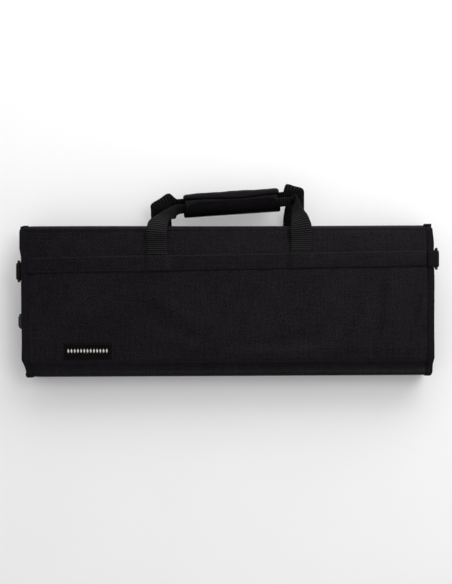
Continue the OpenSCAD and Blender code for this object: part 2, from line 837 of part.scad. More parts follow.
module upper_slider() { slider(upper_slider_y, 1); }
module upper_pull_ring() { pull_link(upper_slider_y, 1); }
module upper_pull_grip() { pull_grip(upper_slider_y, 1, false); }
module lower_slider() { slider(lower_slider_y, -1); }
module lower_pull_ring() { pull_link(lower_slider_y, -1); }
module lower_pull_grip() { pull_grip(lower_slider_y, -1, true); }
module left_d_ring() { d_ring(-1, left_tab_y, left_ring_z); }
module right_d_ring() { d_ring(1, right_tab_y, right_ring_z); }

back_cover();
back_board();
back_lining();
back_binding();
back_band();
back_strap_ends();
back_gusset();
back_zip_tape();
back_zip_teeth();
knife_sleeve_1();
knife_sleeve_2();
knife_sleeve_3();
knife_sleeve_4();
knife_sleeve_5();
knife_elastic();
spine_cover();
spine_board();
spine_lining();
front_cover();
front_board();
front_lining();
front_binding();
front_band();
front_strap_ends();
label_patch();
front_gusset();
front_zip_tape();
front_zip_teeth();
tool_sleeve_1();
tool_sleeve_2();
tool_sleeve_3();
tool_sleeve_4();
tool_elastic();
left_ring_tab();
right_ring_tab();
front_handle_strap();
back_handle_strap();
grip_wrap();
loop_patch();
grip_flap();
hook_patch();
upper_slider();
upper_pull_ring();
upper_pull_grip();
lower_slider();
lower_pull_ring();
lower_pull_grip();
left_d_ring();
right_d_ring();
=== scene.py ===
"""Looks of the folding knife case: woven nylon over boards, webbing handles, zip and rings."""
import math

import bmesh
import bpy
import numpy as np
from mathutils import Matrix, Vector


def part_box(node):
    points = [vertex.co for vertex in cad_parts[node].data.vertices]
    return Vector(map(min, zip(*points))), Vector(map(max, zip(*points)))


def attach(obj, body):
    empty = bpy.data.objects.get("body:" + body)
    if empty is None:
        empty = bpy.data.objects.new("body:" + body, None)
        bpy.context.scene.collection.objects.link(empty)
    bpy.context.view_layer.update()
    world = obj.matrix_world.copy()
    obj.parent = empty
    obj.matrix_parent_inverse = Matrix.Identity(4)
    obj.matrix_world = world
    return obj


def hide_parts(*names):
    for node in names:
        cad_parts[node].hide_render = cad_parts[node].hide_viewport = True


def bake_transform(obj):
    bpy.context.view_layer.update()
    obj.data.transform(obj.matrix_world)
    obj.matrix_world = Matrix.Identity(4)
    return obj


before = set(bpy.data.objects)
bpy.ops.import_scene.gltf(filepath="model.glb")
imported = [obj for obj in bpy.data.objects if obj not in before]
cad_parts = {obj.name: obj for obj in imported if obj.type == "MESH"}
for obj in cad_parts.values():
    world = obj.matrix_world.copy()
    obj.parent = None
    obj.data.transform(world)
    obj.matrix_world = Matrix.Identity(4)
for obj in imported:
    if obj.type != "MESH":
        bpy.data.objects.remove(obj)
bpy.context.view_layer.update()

MM = 0.001


def mm_box(node):
    low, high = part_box(node)
    return np.array(low) / MM, np.array(high) / MM


# Sizes of the case in millimetres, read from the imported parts
HALF_L = mm_box("front_binding")[1][0]
TOP_Y = mm_box("front_cover")[1][1]
CASE_T = mm_box("front_cover")[1][2]
SPINE_LOW, SPINE_HIGH = mm_box("spine_cover")
BOTTOM_Y = SPINE_LOW[1]
SPINE_T = SPINE_HIGH[2]
SPINE_HALF = SPINE_HIGH[0]
FOLD_R = (SPINE_HIGH[1] - SPINE_LOW[1]) / 2
FOLD_Y = BOTTOM_Y + FOLD_R
FRONT_FOLD_Z = SPINE_T - FOLD_R
WALL_X = mm_box("front_gusset")[1][0]
WALL_Y = mm_box("front_gusset")[1][1]
BACK_WALL_TOP = mm_box("back_gusset")[1][2]
FRONT_WALL_LOW = mm_box("front_gusset")[0][2]
ZIP_Z = (BACK_WALL_TOP + FRONT_WALL_LOW) / 2
PANEL_T = mm_box("back_gusset")[0][2]

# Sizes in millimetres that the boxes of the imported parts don't tell
EDGE_R = 8.0
WALL_R = 14.0
WALL_T = 2.0
BINDING_W = 8.0
BINDING_DEPTH = 6.3
DIP_START = FOLD_Y + 14
DIP_END = FOLD_Y + 4
BAND_Y = 47.5
BAND_W = 20.0
BAND_SLANT = math.radians(0.77)
WEB_W = 25.4
WEB_T = 1.6
STRAPS_X = (-84.5, 89.7)
BACK_STRAPS_X = (-81.5, 83.7)
GRIP_L = 118.0
GRIP = np.array([6.0, 120.5, 34.0])
GRIP_SLANT = math.radians(3.6)


# Finishes
class Value:
    """A number in a material. Sums and products on it add Math nodes."""

    def __init__(self, finish, socket):
        self.finish = finish
        self.socket = socket

    def math(self, operation, *others):
        values = {i: v for i, v in enumerate((self, *others))}
        return self.finish.node("ShaderNodeMath", {"operation": operation}, values)

    def __add__(self, other):
        return self.math("ADD", other)

    def __mul__(self, other):
        return self.math("MULTIPLY", other)

    def __sub__(self, other):
        return self.math("SUBTRACT", other)

    def __rsub__(self, other):
        return self.finish.node("ShaderNodeMath", {"operation": "SUBTRACT"}, {0: other, 1: self})

    def __pow__(self, other):
        return self.math("POWER", other)

    def clip(self):
        return self.finish.node("ShaderNodeClamp", {}, {0: self})

    __radd__ = __add__
    __rmul__ = __mul__


class Finish:
    """One material. Its nodes are made by node() and its shader is set by surface()."""

    def __init__(self, name, coords="UV"):
        self.material = bpy.data.materials.new(name)
        self.material.use_nodes = True
        self.tree = self.material.node_tree
        self.shader = self.tree.nodes["Principled BSDF"]
        place = self.node("ShaderNodeTexCoord", {}, {}, coords)
        scale = 1.0 if coords == "UV" else 1 / MM
        self.place = self.node("ShaderNodeVectorMath", {"operation": "SCALE"}, {0: place, "Scale": scale})

    def node(self, kind, settings, links, output=0):
        made = self.tree.nodes.new(kind)
        for key, value in settings.items():
            if key == "stops":
                self.set_stops(made.color_ramp, value)
            else:
                setattr(made, key, value)
        for key, value in links.items():
            self.link(made.inputs[key], value)
        return Value(self, made.outputs[output])

    def set_stops(self, ramp, stops):
        while len(ramp.elements) < len(stops):
            ramp.elements.new(0.5)
        for element, (at, level) in zip(ramp.elements, stops):
            element.position = at
            element.color = (level, level, level, 1)

    def link(self, socket, value):
        if isinstance(value, Value):
            self.tree.links.new(value.socket, socket)
        elif isinstance(value, tuple) and len(value) == 3 and socket.type == "RGBA":
            socket.default_value = (*value, 1)
        else:
            socket.default_value = value

    def axis(self, index):
        return self.node("ShaderNodeSeparateXYZ", {}, {0: self.place}, index)

    def noise(self, size, detail=2.0, rough=0.5, stretch=None):
        """Soft noise whose patches are about size millimetres across; stretch squeezes its axes."""
        place = self.place
        if stretch is not None:
            place = self.node("ShaderNodeVectorMath", {"operation": "MULTIPLY"}, {0: place, 1: stretch})
        links = {"Vector": place, "Scale": 1 / size, "Detail": detail, "Roughness": rough}
        return self.node("ShaderNodeTexNoise", {}, links, "Fac")

    def wave(self, value, period):
        """Sine of a length in millimetres, from 0 to 1."""
        return (value * (2 * math.pi / period)).math("SINE") * 0.5 + 0.5

    def ramp(self, value, *stops):
        return self.node("ShaderNodeValToRGB", {"stops": stops}, {0: value}, "Color")

    def tint(self, share, first, second):
        """Mix of two colours; 0, 6 and 7 are the colour mix's own inputs, and 2 its output."""
        return self.node("ShaderNodeMix", {"data_type": "RGBA"}, {0: share, 6: first, 7: second}, 2)

    def surface(self, color, roughness, height=None, depth=0.3, **constants):
        self.link(self.shader.inputs["Base Color"], color)
        self.link(self.shader.inputs["Roughness"], roughness)
        for name, value in constants.items():
            self.link(self.shader.inputs[name.replace("_", " ")], value)
        if height is not None:
            bump = self.node("ShaderNodeBump", {}, {"Height": height, "Distance": depth * MM}, "Normal")
            self.link(self.shader.inputs["Normal"], bump)
        return self.material


def woven(name, dark, light, pitch=0.9, depth=0.16, coords="UV", shine=0.1):
    """Plain weave of coarse nylon yarn, with faint slubs and slow unevenness of its tone."""
    f = Finish(name, coords)
    u = f.axis(0)
    v = f.axis(1) if coords == "UV" else f.axis(1) + f.axis(2)
    warp, weft = f.wave(u, pitch), f.wave(v, pitch)
    over = warp * weft + (1 - warp) * (1 - weft)
    slub = f.noise(1.7, 2.0, 0.65)
    cloud = f.noise(90, 3.0, 0.5)
    streak = f.noise(3.0, 2.0, 0.6, (1, 0.14, 1)) + f.noise(3.4, 2.0, 0.6, (0.14, 1, 1))
    share = (over * 0.3 + (slub - 0.5) * 2.4 + (streak - 1) * 0.5 + (cloud - 0.5) * 0.4 + 0.22).clip()
    color = f.tint(share, dark, light)
    roughness = 0.42 + (cloud - 0.5) * 0.1 - over * 0.05
    height = over * 0.4 + slub * 0.6 + streak * 0.2
    return f.surface(color, roughness, height, depth, Specular_IOR_Level=shine)


def ribbed(name, dark, light, rib=2.2, depth=0.3):
    """Webbing with ribs across its length and a fine yarn between its edges."""
    f = Finish(name)
    u, v = f.axis(0), f.axis(1)
    ribs = f.wave(u, rib)
    yarn = f.wave(v + f.wave(u, rib * 2) * 0.4, 1.1)
    fuzz = f.noise(1.2, 2.0, 0.6)
    cloud = f.noise(24, 2.0, 0.5)
    share = (ribs ** 2 * 0.85 + yarn * 0.1 + (fuzz - 0.5) * 0.8 + (cloud - 0.5) * 0.6 - 0.04).clip()
    color = f.tint(share, dark, light)
    roughness = 0.74 + (cloud - 0.5) * 0.15 + (1 - ribs) * 0.1
    return f.surface(color, roughness, ribs * 0.8 + yarn * 0.2 + fuzz * 0.15, depth,
                     Specular_IOR_Level=0.11)


def satin(name, dark, light):
    """Tight label satin with fine ribs along its length."""
    f = Finish(name)
    ribs = f.wave(f.axis(1), 0.55)
    cloud = f.noise(9, 2.0, 0.5)
    color = f.tint((ribs * 0.4 + cloud * 0.4).clip(), dark, light)
    return f.surface(color, 0.6 + (cloud - 0.5) * 0.12, ribs, 0.05, Specular_IOR_Level=0.05)


def moulded(name, dark, light, rough=0.5):
    """Moulded plastic or enamel with a fine grain and rubbed high spots."""
    f = Finish(name, "Object")
    grain = f.noise(0.5, 2.0, 0.6)
    cloud = f.noise(4, 2.0, 0.5)
    color = f.tint((grain * 0.4 + cloud * 0.4).clip(), dark, light)
    return f.surface(color, rough + (cloud - 0.5) * 0.2, grain, 0.04, Specular_IOR_Level=0.5)


def blackened(name, dark, light):
    """Dark plated wire, worn brighter in places."""
    f = Finish(name, "Object")
    wear = f.ramp(f.noise(3, 3.0, 0.6), (0.4, 0.0), (0.7, 1.0))
    color = f.tint(wear, dark, light)
    return f.surface(color, 0.32 + f.noise(1.5) * 0.15, f.noise(0.7), 0.03, Metallic=0.85)


def thread(name, color):
    f = Finish(name, "Object")
    twist = f.noise(0.6, 1.0, 0.5)
    shade = f.tint(twist, tuple(0.7 * c for c in color), color)
    return f.surface(shade, 0.6 + (twist - 0.5) * 0.1, twist, 0.05, Specular_IOR_Level=0.14)


NYLON = woven("nylon", (0.0002, 0.0001, 0.0003), (0.0160, 0.0123, 0.0174), shine=0.06)
NYLON_PADDED = woven("padded_nylon", (0.0002, 0.0001, 0.0003), (0.0046, 0.0032, 0.0056),
                     coords="Object", shine=0.04)
BINDING = ribbed("binding_tape", (0.0006, 0.0004, 0.0008), (0.0098, 0.0074, 0.0110), rib=1.5, depth=0.18)
BAND = woven("band_nylon", (0.0002, 0.0001, 0.0003), (0.0146, 0.0112, 0.0158), pitch=1.0, shine=0.06)
WEBBING = ribbed("handle_webbing", (0.0001, 0.0001, 0.0001), (0.0270, 0.0245, 0.0255), rib=2.6, depth=0.9)
TAB_WEBBING = ribbed("tab_webbing", (0.0022, 0.0016, 0.0014), (0.0120, 0.0095, 0.0085), rib=1.8)
TAPE = ribbed("zip_tape_cloth", (0.002, 0.002, 0.0022), (0.0085, 0.0080, 0.0088), rib=1.2, depth=0.12)
LINING = woven("lining_cloth", (0.028, 0.028, 0.030), (0.048, 0.048, 0.051), pitch=0.5, depth=0.07)
ELASTIC = ribbed("elastic", (0.006, 0.006, 0.0065), (0.022, 0.022, 0.023), rib=0.9, depth=0.2)
LABEL = satin("label_satin", (0.0006, 0.0006, 0.0007), (0.0020, 0.0019, 0.0022))
HOOK = ribbed("hook_and_loop", (0.003, 0.003, 0.003), (0.009, 0.009, 0.009), rib=0.8, depth=0.35)
PLASTIC = moulded("pull_plastic", (0.004, 0.004, 0.004), (0.010, 0.010, 0.010))
ENAMEL = moulded("slider_enamel", (0.006, 0.006, 0.0065), (0.018, 0.018, 0.019), 0.35)
TEETH = moulded("zip_teeth", (0.005, 0.005, 0.0055), (0.013, 0.013, 0.014), 0.4)
WIRE = blackened("plated_wire", (0.020, 0.018, 0.017), (0.085, 0.080, 0.074))
BOARD = moulded("stiffening_board", (0.20, 0.18, 0.155), (0.26, 0.235, 0.20), 0.7)
THREAD = thread("thread", (0.0085, 0.0074, 0.0092))
DARK_THREAD = thread("dark_thread", (0.0016, 0.0013, 0.0018))
LABEL_THREAD = thread("label_thread", (0.62, 0.61, 0.58))


# Making of pieces
def make_mesh(name, points, faces, material, uvs=None, smooth=True):
    """A mesh piece from points in millimetres."""
    mesh = bpy.data.meshes.new(name)
    mesh.from_pydata([tuple(float(c) * MM for c in p) for p in points], [], faces)
    mesh.materials.append(material)
    if uvs is not None:
        layer = mesh.uv_layers.new(name="UVMap")
        index = np.zeros(len(mesh.loops), int)
        mesh.loops.foreach_get("vertex_index", index)
        layer.data.foreach_set("uv", np.asarray(uvs, float)[index].ravel())
    mesh.polygons.foreach_set("use_smooth", [smooth] * len(mesh.polygons))
    mesh.update()
    piece = bpy.data.objects.new(name, mesh)
    bpy.context.scene.collection.objects.link(piece)
    return piece


def lengths(points):
    """Length run along a list of points, starting at 0."""
    steps = np.linalg.norm(np.diff(points, axis=0), axis=1)
    return np.concatenate([[0.0], np.cumsum(steps)])


def normals_of(grid):
    du = np.gradient(grid, axis=0)
    dv = np.gradient(grid, axis=1)
    n = np.cross(du, dv)
    return n / np.maximum(np.linalg.norm(n, axis=2, keepdims=True), 1e-9)


def slab(name, grid, thick, material, edge=1.0, up=0.5):
    """A sheet of cloth with thickness and rounded borders, from the points of its middle face.
    up is the share of the thickness that lies on the side of the normal."""
    grid = np.asarray(grid, float)
    rows, cols = grid.shape[:2]
    normal = normals_of(grid)
    along = lengths(grid[:, cols // 2])
    across = lengths(grid[rows // 2])
    to_u = np.minimum(along, along[-1] - along)[:, None]
    to_v = np.minimum(across, across[-1] - across)[None, :]
    near = np.clip(np.minimum(to_u, to_v) / edge, 0, 1)
    half = thick / 2 * np.sqrt(np.maximum(1 - (1 - near) ** 2, 0.05))
    centre = (up - 0.5) * thick
    outer = grid + normal * (centre + half)[..., None]
    inner = grid + normal * (centre - half)[..., None]
    points = np.concatenate([outer.reshape(-1, 3), inner.reshape(-1, 3)])
    count = rows * cols
    uv = np.stack(np.broadcast_arrays(along[:, None], across[None, :]), axis=2).reshape(-1, 2)
    faces = []
    for i in range(rows - 1):
        for j in range(cols - 1):
            a, b = i * cols + j, (i + 1) * cols + j
            faces.append((a, b, b + 1, a + 1))
            faces.append((count + a, count + a + 1, count + b + 1, count + b))
    rim = [i * cols for i in range(rows)] + [(rows - 1) * cols + j for j in range(1, cols)]
    rim += [i * cols + cols - 1 for i in range(rows - 2, -1, -1)] + list(range(cols - 2, 0, -1))
    for a, b in zip(rim, rim[1:] + rim[:1]):
        faces.append((a, count + a, count + b, b))
    return make_mesh(name, points, faces, material, np.concatenate([uv, uv]))


def capped_tube(start, rings, sides):
    """Faces of a closed tube through rings of points, which are numbered from start."""
    faces = []
    for i in range(rings - 1):
        for k in range(sides):
            a, b = start + i * sides + k, start + i * sides + (k + 1) % sides
            faces.append((a, b, b + sides, a + sides))
    last = start + (rings - 1) * sides
    faces.append(tuple(range(start, start + sides))[::-1])
    faces.append(tuple(range(last, last + sides)))
    return faces


def loft(name, rings, material):
    """A solid through closed rings of points, with capped ends."""
    rings = np.asarray(rings, float)
    count, sides = rings.shape[:2]
    along = lengths(rings.mean(axis=1))
    around = lengths(np.concatenate([rings[count // 2], rings[count // 2][:1]]))[:-1]
    uv = np.stack(np.broadcast_arrays(along[:, None], around[None, :]), axis=2).reshape(-1, 2)
    piece = make_mesh(name, rings.reshape(-1, 3), capped_tube(0, count, sides), material, uv)
    turn_out(piece)
    return piece


def turn_out(piece):
    """Points every face outwards."""
    bm = bmesh.new()
    bm.from_mesh(piece.data)
    bmesh.ops.recalc_face_normals(bm, faces=bm.faces)
    bm.to_mesh(piece.data)
    bm.free()


def dress(piece, slot, body, *nodes):
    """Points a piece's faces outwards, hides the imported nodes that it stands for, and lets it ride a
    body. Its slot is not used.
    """
    turn_out(piece)
    if nodes:
        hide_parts(*nodes)
    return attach(piece, body)


# Rings of one stitch: share of its half length, share of its radius, lift above the cloth
STITCH_RINGS = (
    (-1.0, 0.35, -0.35), (-0.65, 0.9, 0.1), (0.0, 1.0, 0.22), (0.65, 0.9, 0.1), (1.0, 0.35, -0.35))


def stitches(name, lines, material=THREAD, length=2.8, gap=1.2, radius=0.36):
    """Rows of stitches. Each line is a list of points and the cloth's normals at them."""
    points, faces = [], []
    sides = 6
    for path, normals in lines:
        path = np.asarray(path, float)
        normals = np.asarray(normals, float)
        if normals.ndim == 1:
            normals = np.repeat(normals[None], len(path), axis=0)
        run = lengths(path)
        count = max(1, int(run[-1] / (length + gap)))
        for k in range(count):
            mid = (k + 0.5) * run[-1] / count
            at = np.array([np.interp(mid, run, path[:, c]) for c in range(3)])
            ahead = np.array([np.interp(min(run[-1], mid + 0.8), run, path[:, c]) for c in range(3)])
            behind = np.array([np.interp(max(0, mid - 0.8), run, path[:, c]) for c in range(3)])
            n = np.array([np.interp(mid, run, normals[:, c]) for c in range(3)])
            n /= np.linalg.norm(n)
            d = (ahead - behind) / max(np.linalg.norm(ahead - behind), 1e-9)
            side = np.cross(n, d)
            lean = d + side * 0.12
            lean /= np.linalg.norm(lean)
            start = len(points)
            for t, size, lift in STITCH_RINGS:
                c = at + lean * t * length / 2 + n * lift
                for s in range(sides):
                    a = 2 * math.pi * s / sides
                    points.append(c + (side * math.cos(a) + n * math.sin(a)) * radius * size)
            faces += capped_tube(start, len(STITCH_RINGS), sides)
    return make_mesh(name, points, faces, material)


def smooth_step(t):
    t = np.clip(t, 0, 1)
    return t * t * (3 - 2 * t)


def spline(points, steps):
    """Smooth curve through points."""
    p = np.asarray(points, float)
    ends = np.concatenate([p[:1], p, p[-1:]])
    out = []
    for i in range(len(p) - 1):
        a, b, c, d = ends[i:i + 4]
        for k in range(steps):
            t = k / steps
            out.append(0.5 * (2 * b + (c - a) * t + (2 * a - 5 * b + 4 * c - d) * t ** 2
                              + (3 * b - a - 3 * c + d) * t ** 3))
    out.append(p[-1])
    return np.array(out)


def arc(cy, cz, r, start, end, count):
    """Points of a round corner in a plane."""
    angles = np.radians(np.linspace(start, end, count))
    return [(cy + r * math.cos(a), cz + r * math.sin(a)) for a in angles]


# Outer cloth. Its section in Y and Z runs from the opening edge's lip over a face to the middle of
# the spine
SKIN_IN = 0.5
SKIN_TUCK = 4.5
SKIN_DEEPEST = -1.4
STRIP_Z = SPINE_T + 0.6


def lip_puff(x, y):
    """How far the cloth swells past the opening edge, most at the left end."""
    return 1.5 * smooth_step((80 - np.asarray(x, float)) / 280) * smooth_step((y - (TOP_Y - EDGE_R)) / 7)


def fold_roll(y):
    """Share of the roll with which the face goes over into its dip."""
    return smooth_step((DIP_START + 15 - y) / 16)


def face_z(y):
    """Height of the front face, which rolls down a little before its dip."""
    return CASE_T - 1.3 * float(fold_roll(y))


def front_section():
    """Front half's section: opening edge, face, dip to the fold strip, and down the spine."""
    path = [(WALL_Y + 0.3, CASE_T - EDGE_R + 0.9), (TOP_Y - 2.0, CASE_T - EDGE_R - 0.2)]
    path += arc(TOP_Y - EDGE_R, CASE_T - EDGE_R, EDGE_R, 0, 90, 10)
    path += [(y, face_z(y)) for y in np.linspace(TOP_Y - EDGE_R, DIP_START, 56)[1:-1]]
    for y in np.linspace(DIP_START, DIP_END, 9):
        level = smooth_step((y - DIP_END) / (DIP_START - DIP_END))
        path.append((y, STRIP_Z - 0.8 + (face_z(y) - STRIP_Z + 0.8) * level))
    path += [(FOLD_Y + 2.4, STRIP_Z - 1.1), (FOLD_Y + 0.6, STRIP_Z - 1.1), (FOLD_Y - 1.2, STRIP_Z - 0.6),
             (FOLD_Y - 2.4, STRIP_Z), (FOLD_Y - 4.4, STRIP_Z), (FOLD_Y - 5.8, STRIP_Z - 0.6),
             (FOLD_Y - 7.2, STRIP_Z - 2.0), (BOTTOM_Y, STRIP_Z - 4.2)]
    path += [(BOTTOM_Y, z) for z in np.linspace(STRIP_Z - 6.5, ZIP_Z, 6)]
    return np.array(path)


def back_section():
    """Back half's section: opening edge, flat back, and up the spine."""
    path = [(WALL_Y + 0.3, EDGE_R - 0.9), (TOP_Y - 2.0, EDGE_R + 0.2)]
    path += arc(TOP_Y - EDGE_R, EDGE_R, EDGE_R, 0, -90, 10)
    path += [(y, 0.0) for y in np.linspace(TOP_Y - EDGE_R, FOLD_Y, 60)[1:-1]]
    path += arc(FOLD_Y, FOLD_R, FOLD_R, -90, -180, 10)
    path += [(BOTTOM_Y, z) for z in np.linspace(FOLD_R + 2, ZIP_Z, 7)]
    return np.array(path)


def section_normals(path, sign):
    """Directions square to a line; the sign picks its side."""
    t = np.gradient(path, axis=0)
    n = np.stack([t[:, 1], -t[:, 0]], axis=1) * sign
    return n / np.linalg.norm(n, axis=1, keepdims=True)


def half_at(y):
    """Half the length of the case at a distance from its middle."""
    share = np.clip((DIP_START - y) / (DIP_START - BOTTOM_Y), 0, 1)
    return HALF_L - (HALF_L - SPINE_HALF) * share


def edge_wave(side, y):
    """How far a bound side edge wanders from straight: it bulges at the opening end and its
    corner there is round."""
    y = np.asarray(y, float)
    if side < 0:
        bulge = 1.9 * smooth_step((y - 54) / 12) - 0.4 - 0.5 * np.exp(-((y + 45) / 18) ** 2)
        bulge = bulge + 2.0 * smooth_step((FOLD_Y - y) / 6)
        return bulge - 2.6 * smooth_step((y - (TOP_Y - 5)) / 5.5)
    bulge = 1.2 - 1.3 * np.exp(-((y - 50) / 12) ** 2) + 0.3 * np.sin(y / 23)
    bulge = bulge + 3.6 * smooth_step((DIP_START + 2 - y) / (DIP_START - BOTTOM_Y))
    return bulge - 1.2 * smooth_step((y - 68) / 18) - 2.4 * smooth_step((y - (TOP_Y - 6)) / 6.5)


BACK_RIPPLE_SHIFT = 77.0
# Soft creases of the cloth: middle, direction in degrees, half length, half width, depth
CREASES = (
    (25, 4, 61, 34, 6, 1.3), (150, -18, 59, 38, 10, 1.9), (184, 14, 84, 48, 8, 1.4),
    (226, -12, 74, 42, 7, 1.6), (-33, -44, 30, 16, 9, 1.3), (82, -50, 10, 26, 11, 1.9),
    (-120, 18, 15, 60, 14, 0.9), (-70, -30, 150, 45, 11, 1.0), (-20, 60, 12, 60, 8, 0.6),
    (30, -54, 2, 40, 7, 0.8))


def ripple(x, y):
    """Slow unevenness of the cloth over the board, with its soft creases."""
    lift = (0.3 * np.sin(x / 41 + 0.7 * np.sin(y / 37)) * np.sin(y / 29 + 1.3)
            + 0.12 * np.sin(x / 17 + y / 23 + 0.9) * np.sin(x / 63))
    below_band = smooth_step((30 - y) / 14)
    for at_x, at_y, turn, long, wide, depth in CREASES:
        c, s = math.cos(math.radians(turn)), math.sin(math.radians(turn))
        along = (x - at_x) * c + (y - at_y) * s
        across = (y - at_y) * c - (x - at_x) * s
        lift = lift - depth * np.exp(-(along / long) ** 2 - (across / wide) ** 2)
        ridge = np.exp(-(along / long) ** 2 - (across / wide + 1.5) ** 2)
        lift = lift + 0.8 * depth * ridge * below_band
    return np.maximum(lift, SKIN_DEEPEST)


def sag(x, y):
    """How far the front face hangs below flat: it rolls down at the left end, earlier near the
    fold there, and a little along the opening edge."""
    left = smooth_step((-5 - x) / 60)
    low = smooth_step((-46 - y) / 20) * left
    end = smooth_step((-195 - x) / 45)
    top = smooth_step((y - 52) / 32)
    drop = 1.5 * low + 1.2 * end * (1 - low) * (1 - top) + 1.6 * top - 1.3 * fold_roll(y) * left
    return -drop * smooth_step((y - DIP_END) / (DIP_START - DIP_END))


def dimple(distance, width, depth):
    """Lift of a cloth that is pressed in where distance is nought."""
    return -depth * np.exp(-(distance / width) ** 2)


def band_line(x):
    """Middle of the front band, which runs a little askew."""
    return BAND_Y + np.asarray(x) * math.tan(BAND_SLANT)


STRIP_STITCH_Y = FOLD_Y - 1.5


def skin(half, path, sign, body, start, end):
    """Outer cloth of one half, from its opening edge to the middle of the spine. Its sides are
    tucked in under the bindings, and it is pressed in along every seam."""
    normal = section_normals(path, sign)
    # Places across the case, closer together towards the sides
    even = np.linspace(-1, 1, 121)
    share = 0.35 * np.sin(even * math.pi / 2) + 0.65 * even
    y, z = path[:, 0][:, None], path[:, 1][:, None]
    wide = np.where(share[None, :] > 0, np.maximum(edge_wave(1, y), 0), 0)
    x = share[None, :] * (half_at(y) + wide - SKIN_TUCK)
    flat = smooth_step((y - DIP_END) / 8) * smooth_step((TOP_Y - 4 - y) / 8)
    lift = ripple(x, y if sign > 0 else y + BACK_RIPPLE_SHIFT) * flat
    to_binding = half_at(y) + wide - BINDING_W - np.abs(x)
    lift = lift + dimple(to_binding, 3.0, 0.5) + 0.5 * smooth_step(to_binding / 40) * flat
    if sign > 0:
        lowest = 1.3 * fold_roll(y) - 1.6
        lift = np.where(flat > 0, np.maximum(lift + sag(x, y), lowest), lift) + lip_puff(x, y)
        lift = lift + dimple(y - STRIP_STITCH_Y, 1.5, 0.35) * (z > SPINE_T - 4)
        to_band = np.abs(y - band_line(x)) - BAND_W / 2
        lift = lift + dimple(to_band, 2.5, 0.3) * flat
    else:
        beside_band = np.abs(y - BAND_Y) - BAND_W / 2 - 0.3
        lift = np.minimum(lift, 0.3) - 1.05 * (1 - smooth_step(beside_band / 3.5)) * (z < FOLD_R)
        lift = np.maximum(lift, SKIN_DEEPEST)
    move = lift - SKIN_IN
    grid = np.stack([x, y + normal[:, 0][:, None] * move, z + normal[:, 1][:, None] * move], axis=2)
    if sign < 0:
        grid[..., 2] = np.maximum(grid[..., 2], 0.02)
    piece = slab(f"{half}_skin", grid, 1.0, NYLON, edge=0.5, up=0.0 if sign > 0 else 1.0)
    turn_out(piece)
    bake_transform(piece)
    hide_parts(f"{half}_cover", "spine_cover")


front_path = front_section()
back_path = back_section()
# Two points at each fold, one on the spine and one on its panel, in metres
front_blend = (
    (0, (FOLD_Y - 7) * MM, (FRONT_FOLD_Z + 1) * MM), (0, (FOLD_Y + 3) * MM, (FRONT_FOLD_Z + 9) * MM))
back_blend = ((0, (FOLD_Y - 7) * MM, (FOLD_R - 1) * MM), (0, (FOLD_Y + 3) * MM, -1 * MM))

skin("front", front_path, 1, "cover", *front_blend)
skin("back", back_path, -1, "back", *back_blend)


def binding(half, path, sign, side, body, start, end):
    """Tape folded round one side edge, along the whole section. It reaches in less deep where
    the section turns into the spine."""
    normal = section_normals(path, sign)
    # (distance in from the edge, height over the cloth)
    profile = [(BINDING_W + 0.3, -0.7), (BINDING_W, 0.05), (BINDING_W - 1.2, 0.25), (4.0, 0.35),
               (1.2, 0.25), (0.2, -0.3), (-0.1, -1.5), (-0.1, -4.5), (0.3, -5.9),
               (1.5, -BINDING_DEPTH), (5, -BINDING_DEPTH), (9.6, -6.2), (9.6, -5.4), (5, -5.4),
               (1.6, -5.2), (0.9, -4.5), (0.9, -1.5), (1.8, -0.75), (4.5, -0.75)]
    rings = []
    for k, ((y, z), n) in enumerate(zip(path, normal)):
        edge = float(half_at(y) + edge_wave(side, y))
        wobble = 0.12 * math.sin(k * 0.7) + 0.08 * math.sin(k * 1.9)
        at_turn = z > SPINE_T - 6 or z < FOLD_R
        deepest = BINDING_DEPTH if abs(y - FOLD_Y) > 12 or not at_turn else 0.65 * BINDING_DEPTH
        ring = []
        for a, h in profile:
            depth = max(h, -deepest)
            low = z + n[1] * (depth + (wobble if h > 0 else 0))
            if sign > 0:
                low += float(sag(side * edge, y))
                depth += float(lip_puff(side * edge, y))
            ring.append((side * (edge - a), y + n[0] * depth, max(low, 0.25) if sign < 0 else low))
        rings.append(ring)
    piece = loft(f"{half}_{'left' if side < 0 else 'right'}_binding", rings, BINDING)
    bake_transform(piece)
    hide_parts(f"{half}_binding")


for side in (-1, 1):
    binding("front", front_path, 1, side, "cover", *front_blend)
    binding("back", back_path, -1, side, "back", *back_blend)


def binding_row(path, sign, side, rows, lift):
    """Stitches along one bound edge: points and normals of the line that runs down the section."""
    normal = section_normals(path, sign)
    points = []
    for i in rows:
        y, z = path[i]
        x = side * (half_at(y) + edge_wave(side, y) - BINDING_W + 1.6)
        puff = float(lip_puff(x, y)) if sign > 0 else 0
        drop = float(sag(x, y)) if sign > 0 else 0
        points.append((x, y + normal[i][0] * (lift + puff), z + normal[i][1] * lift + drop))
    return points, [(0, *normal[i]) for i in rows]


front_rows = [i for i in range(3, len(front_path)) if front_path[i][0] > DIP_END - 1]
back_rows = [i for i in range(3, len(back_path)) if back_path[i][0] > FOLD_Y + 4 and back_path[i][1] < 7]
front_lines = [binding_row(front_path, 1, side, front_rows, 0.35) for side in (-1, 1)]
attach(stitches("front_binding_stitches", front_lines, DARK_THREAD), "cover")
back_lines = [binding_row(back_path, -1, side, back_rows, -0.42) for side in (-1, 1)]
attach(stitches("back_binding_stitches", back_lines, DARK_THREAD, radius=0.2), "back")
strip_x = np.linspace(-SPINE_HALF + 9, SPINE_HALF - 9, 120)
strip_line = ([(x, STRIP_STITCH_Y, STRIP_Z - 0.95) for x in strip_x], (0, 0, 1))
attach(stitches("fold_strip_stitches", [strip_line]), "spine")


# Bands over the handle ends
BAND_T = 1.3
BAND_END = HALF_L - 6.5
BACK_BAND_FACE = 0.4


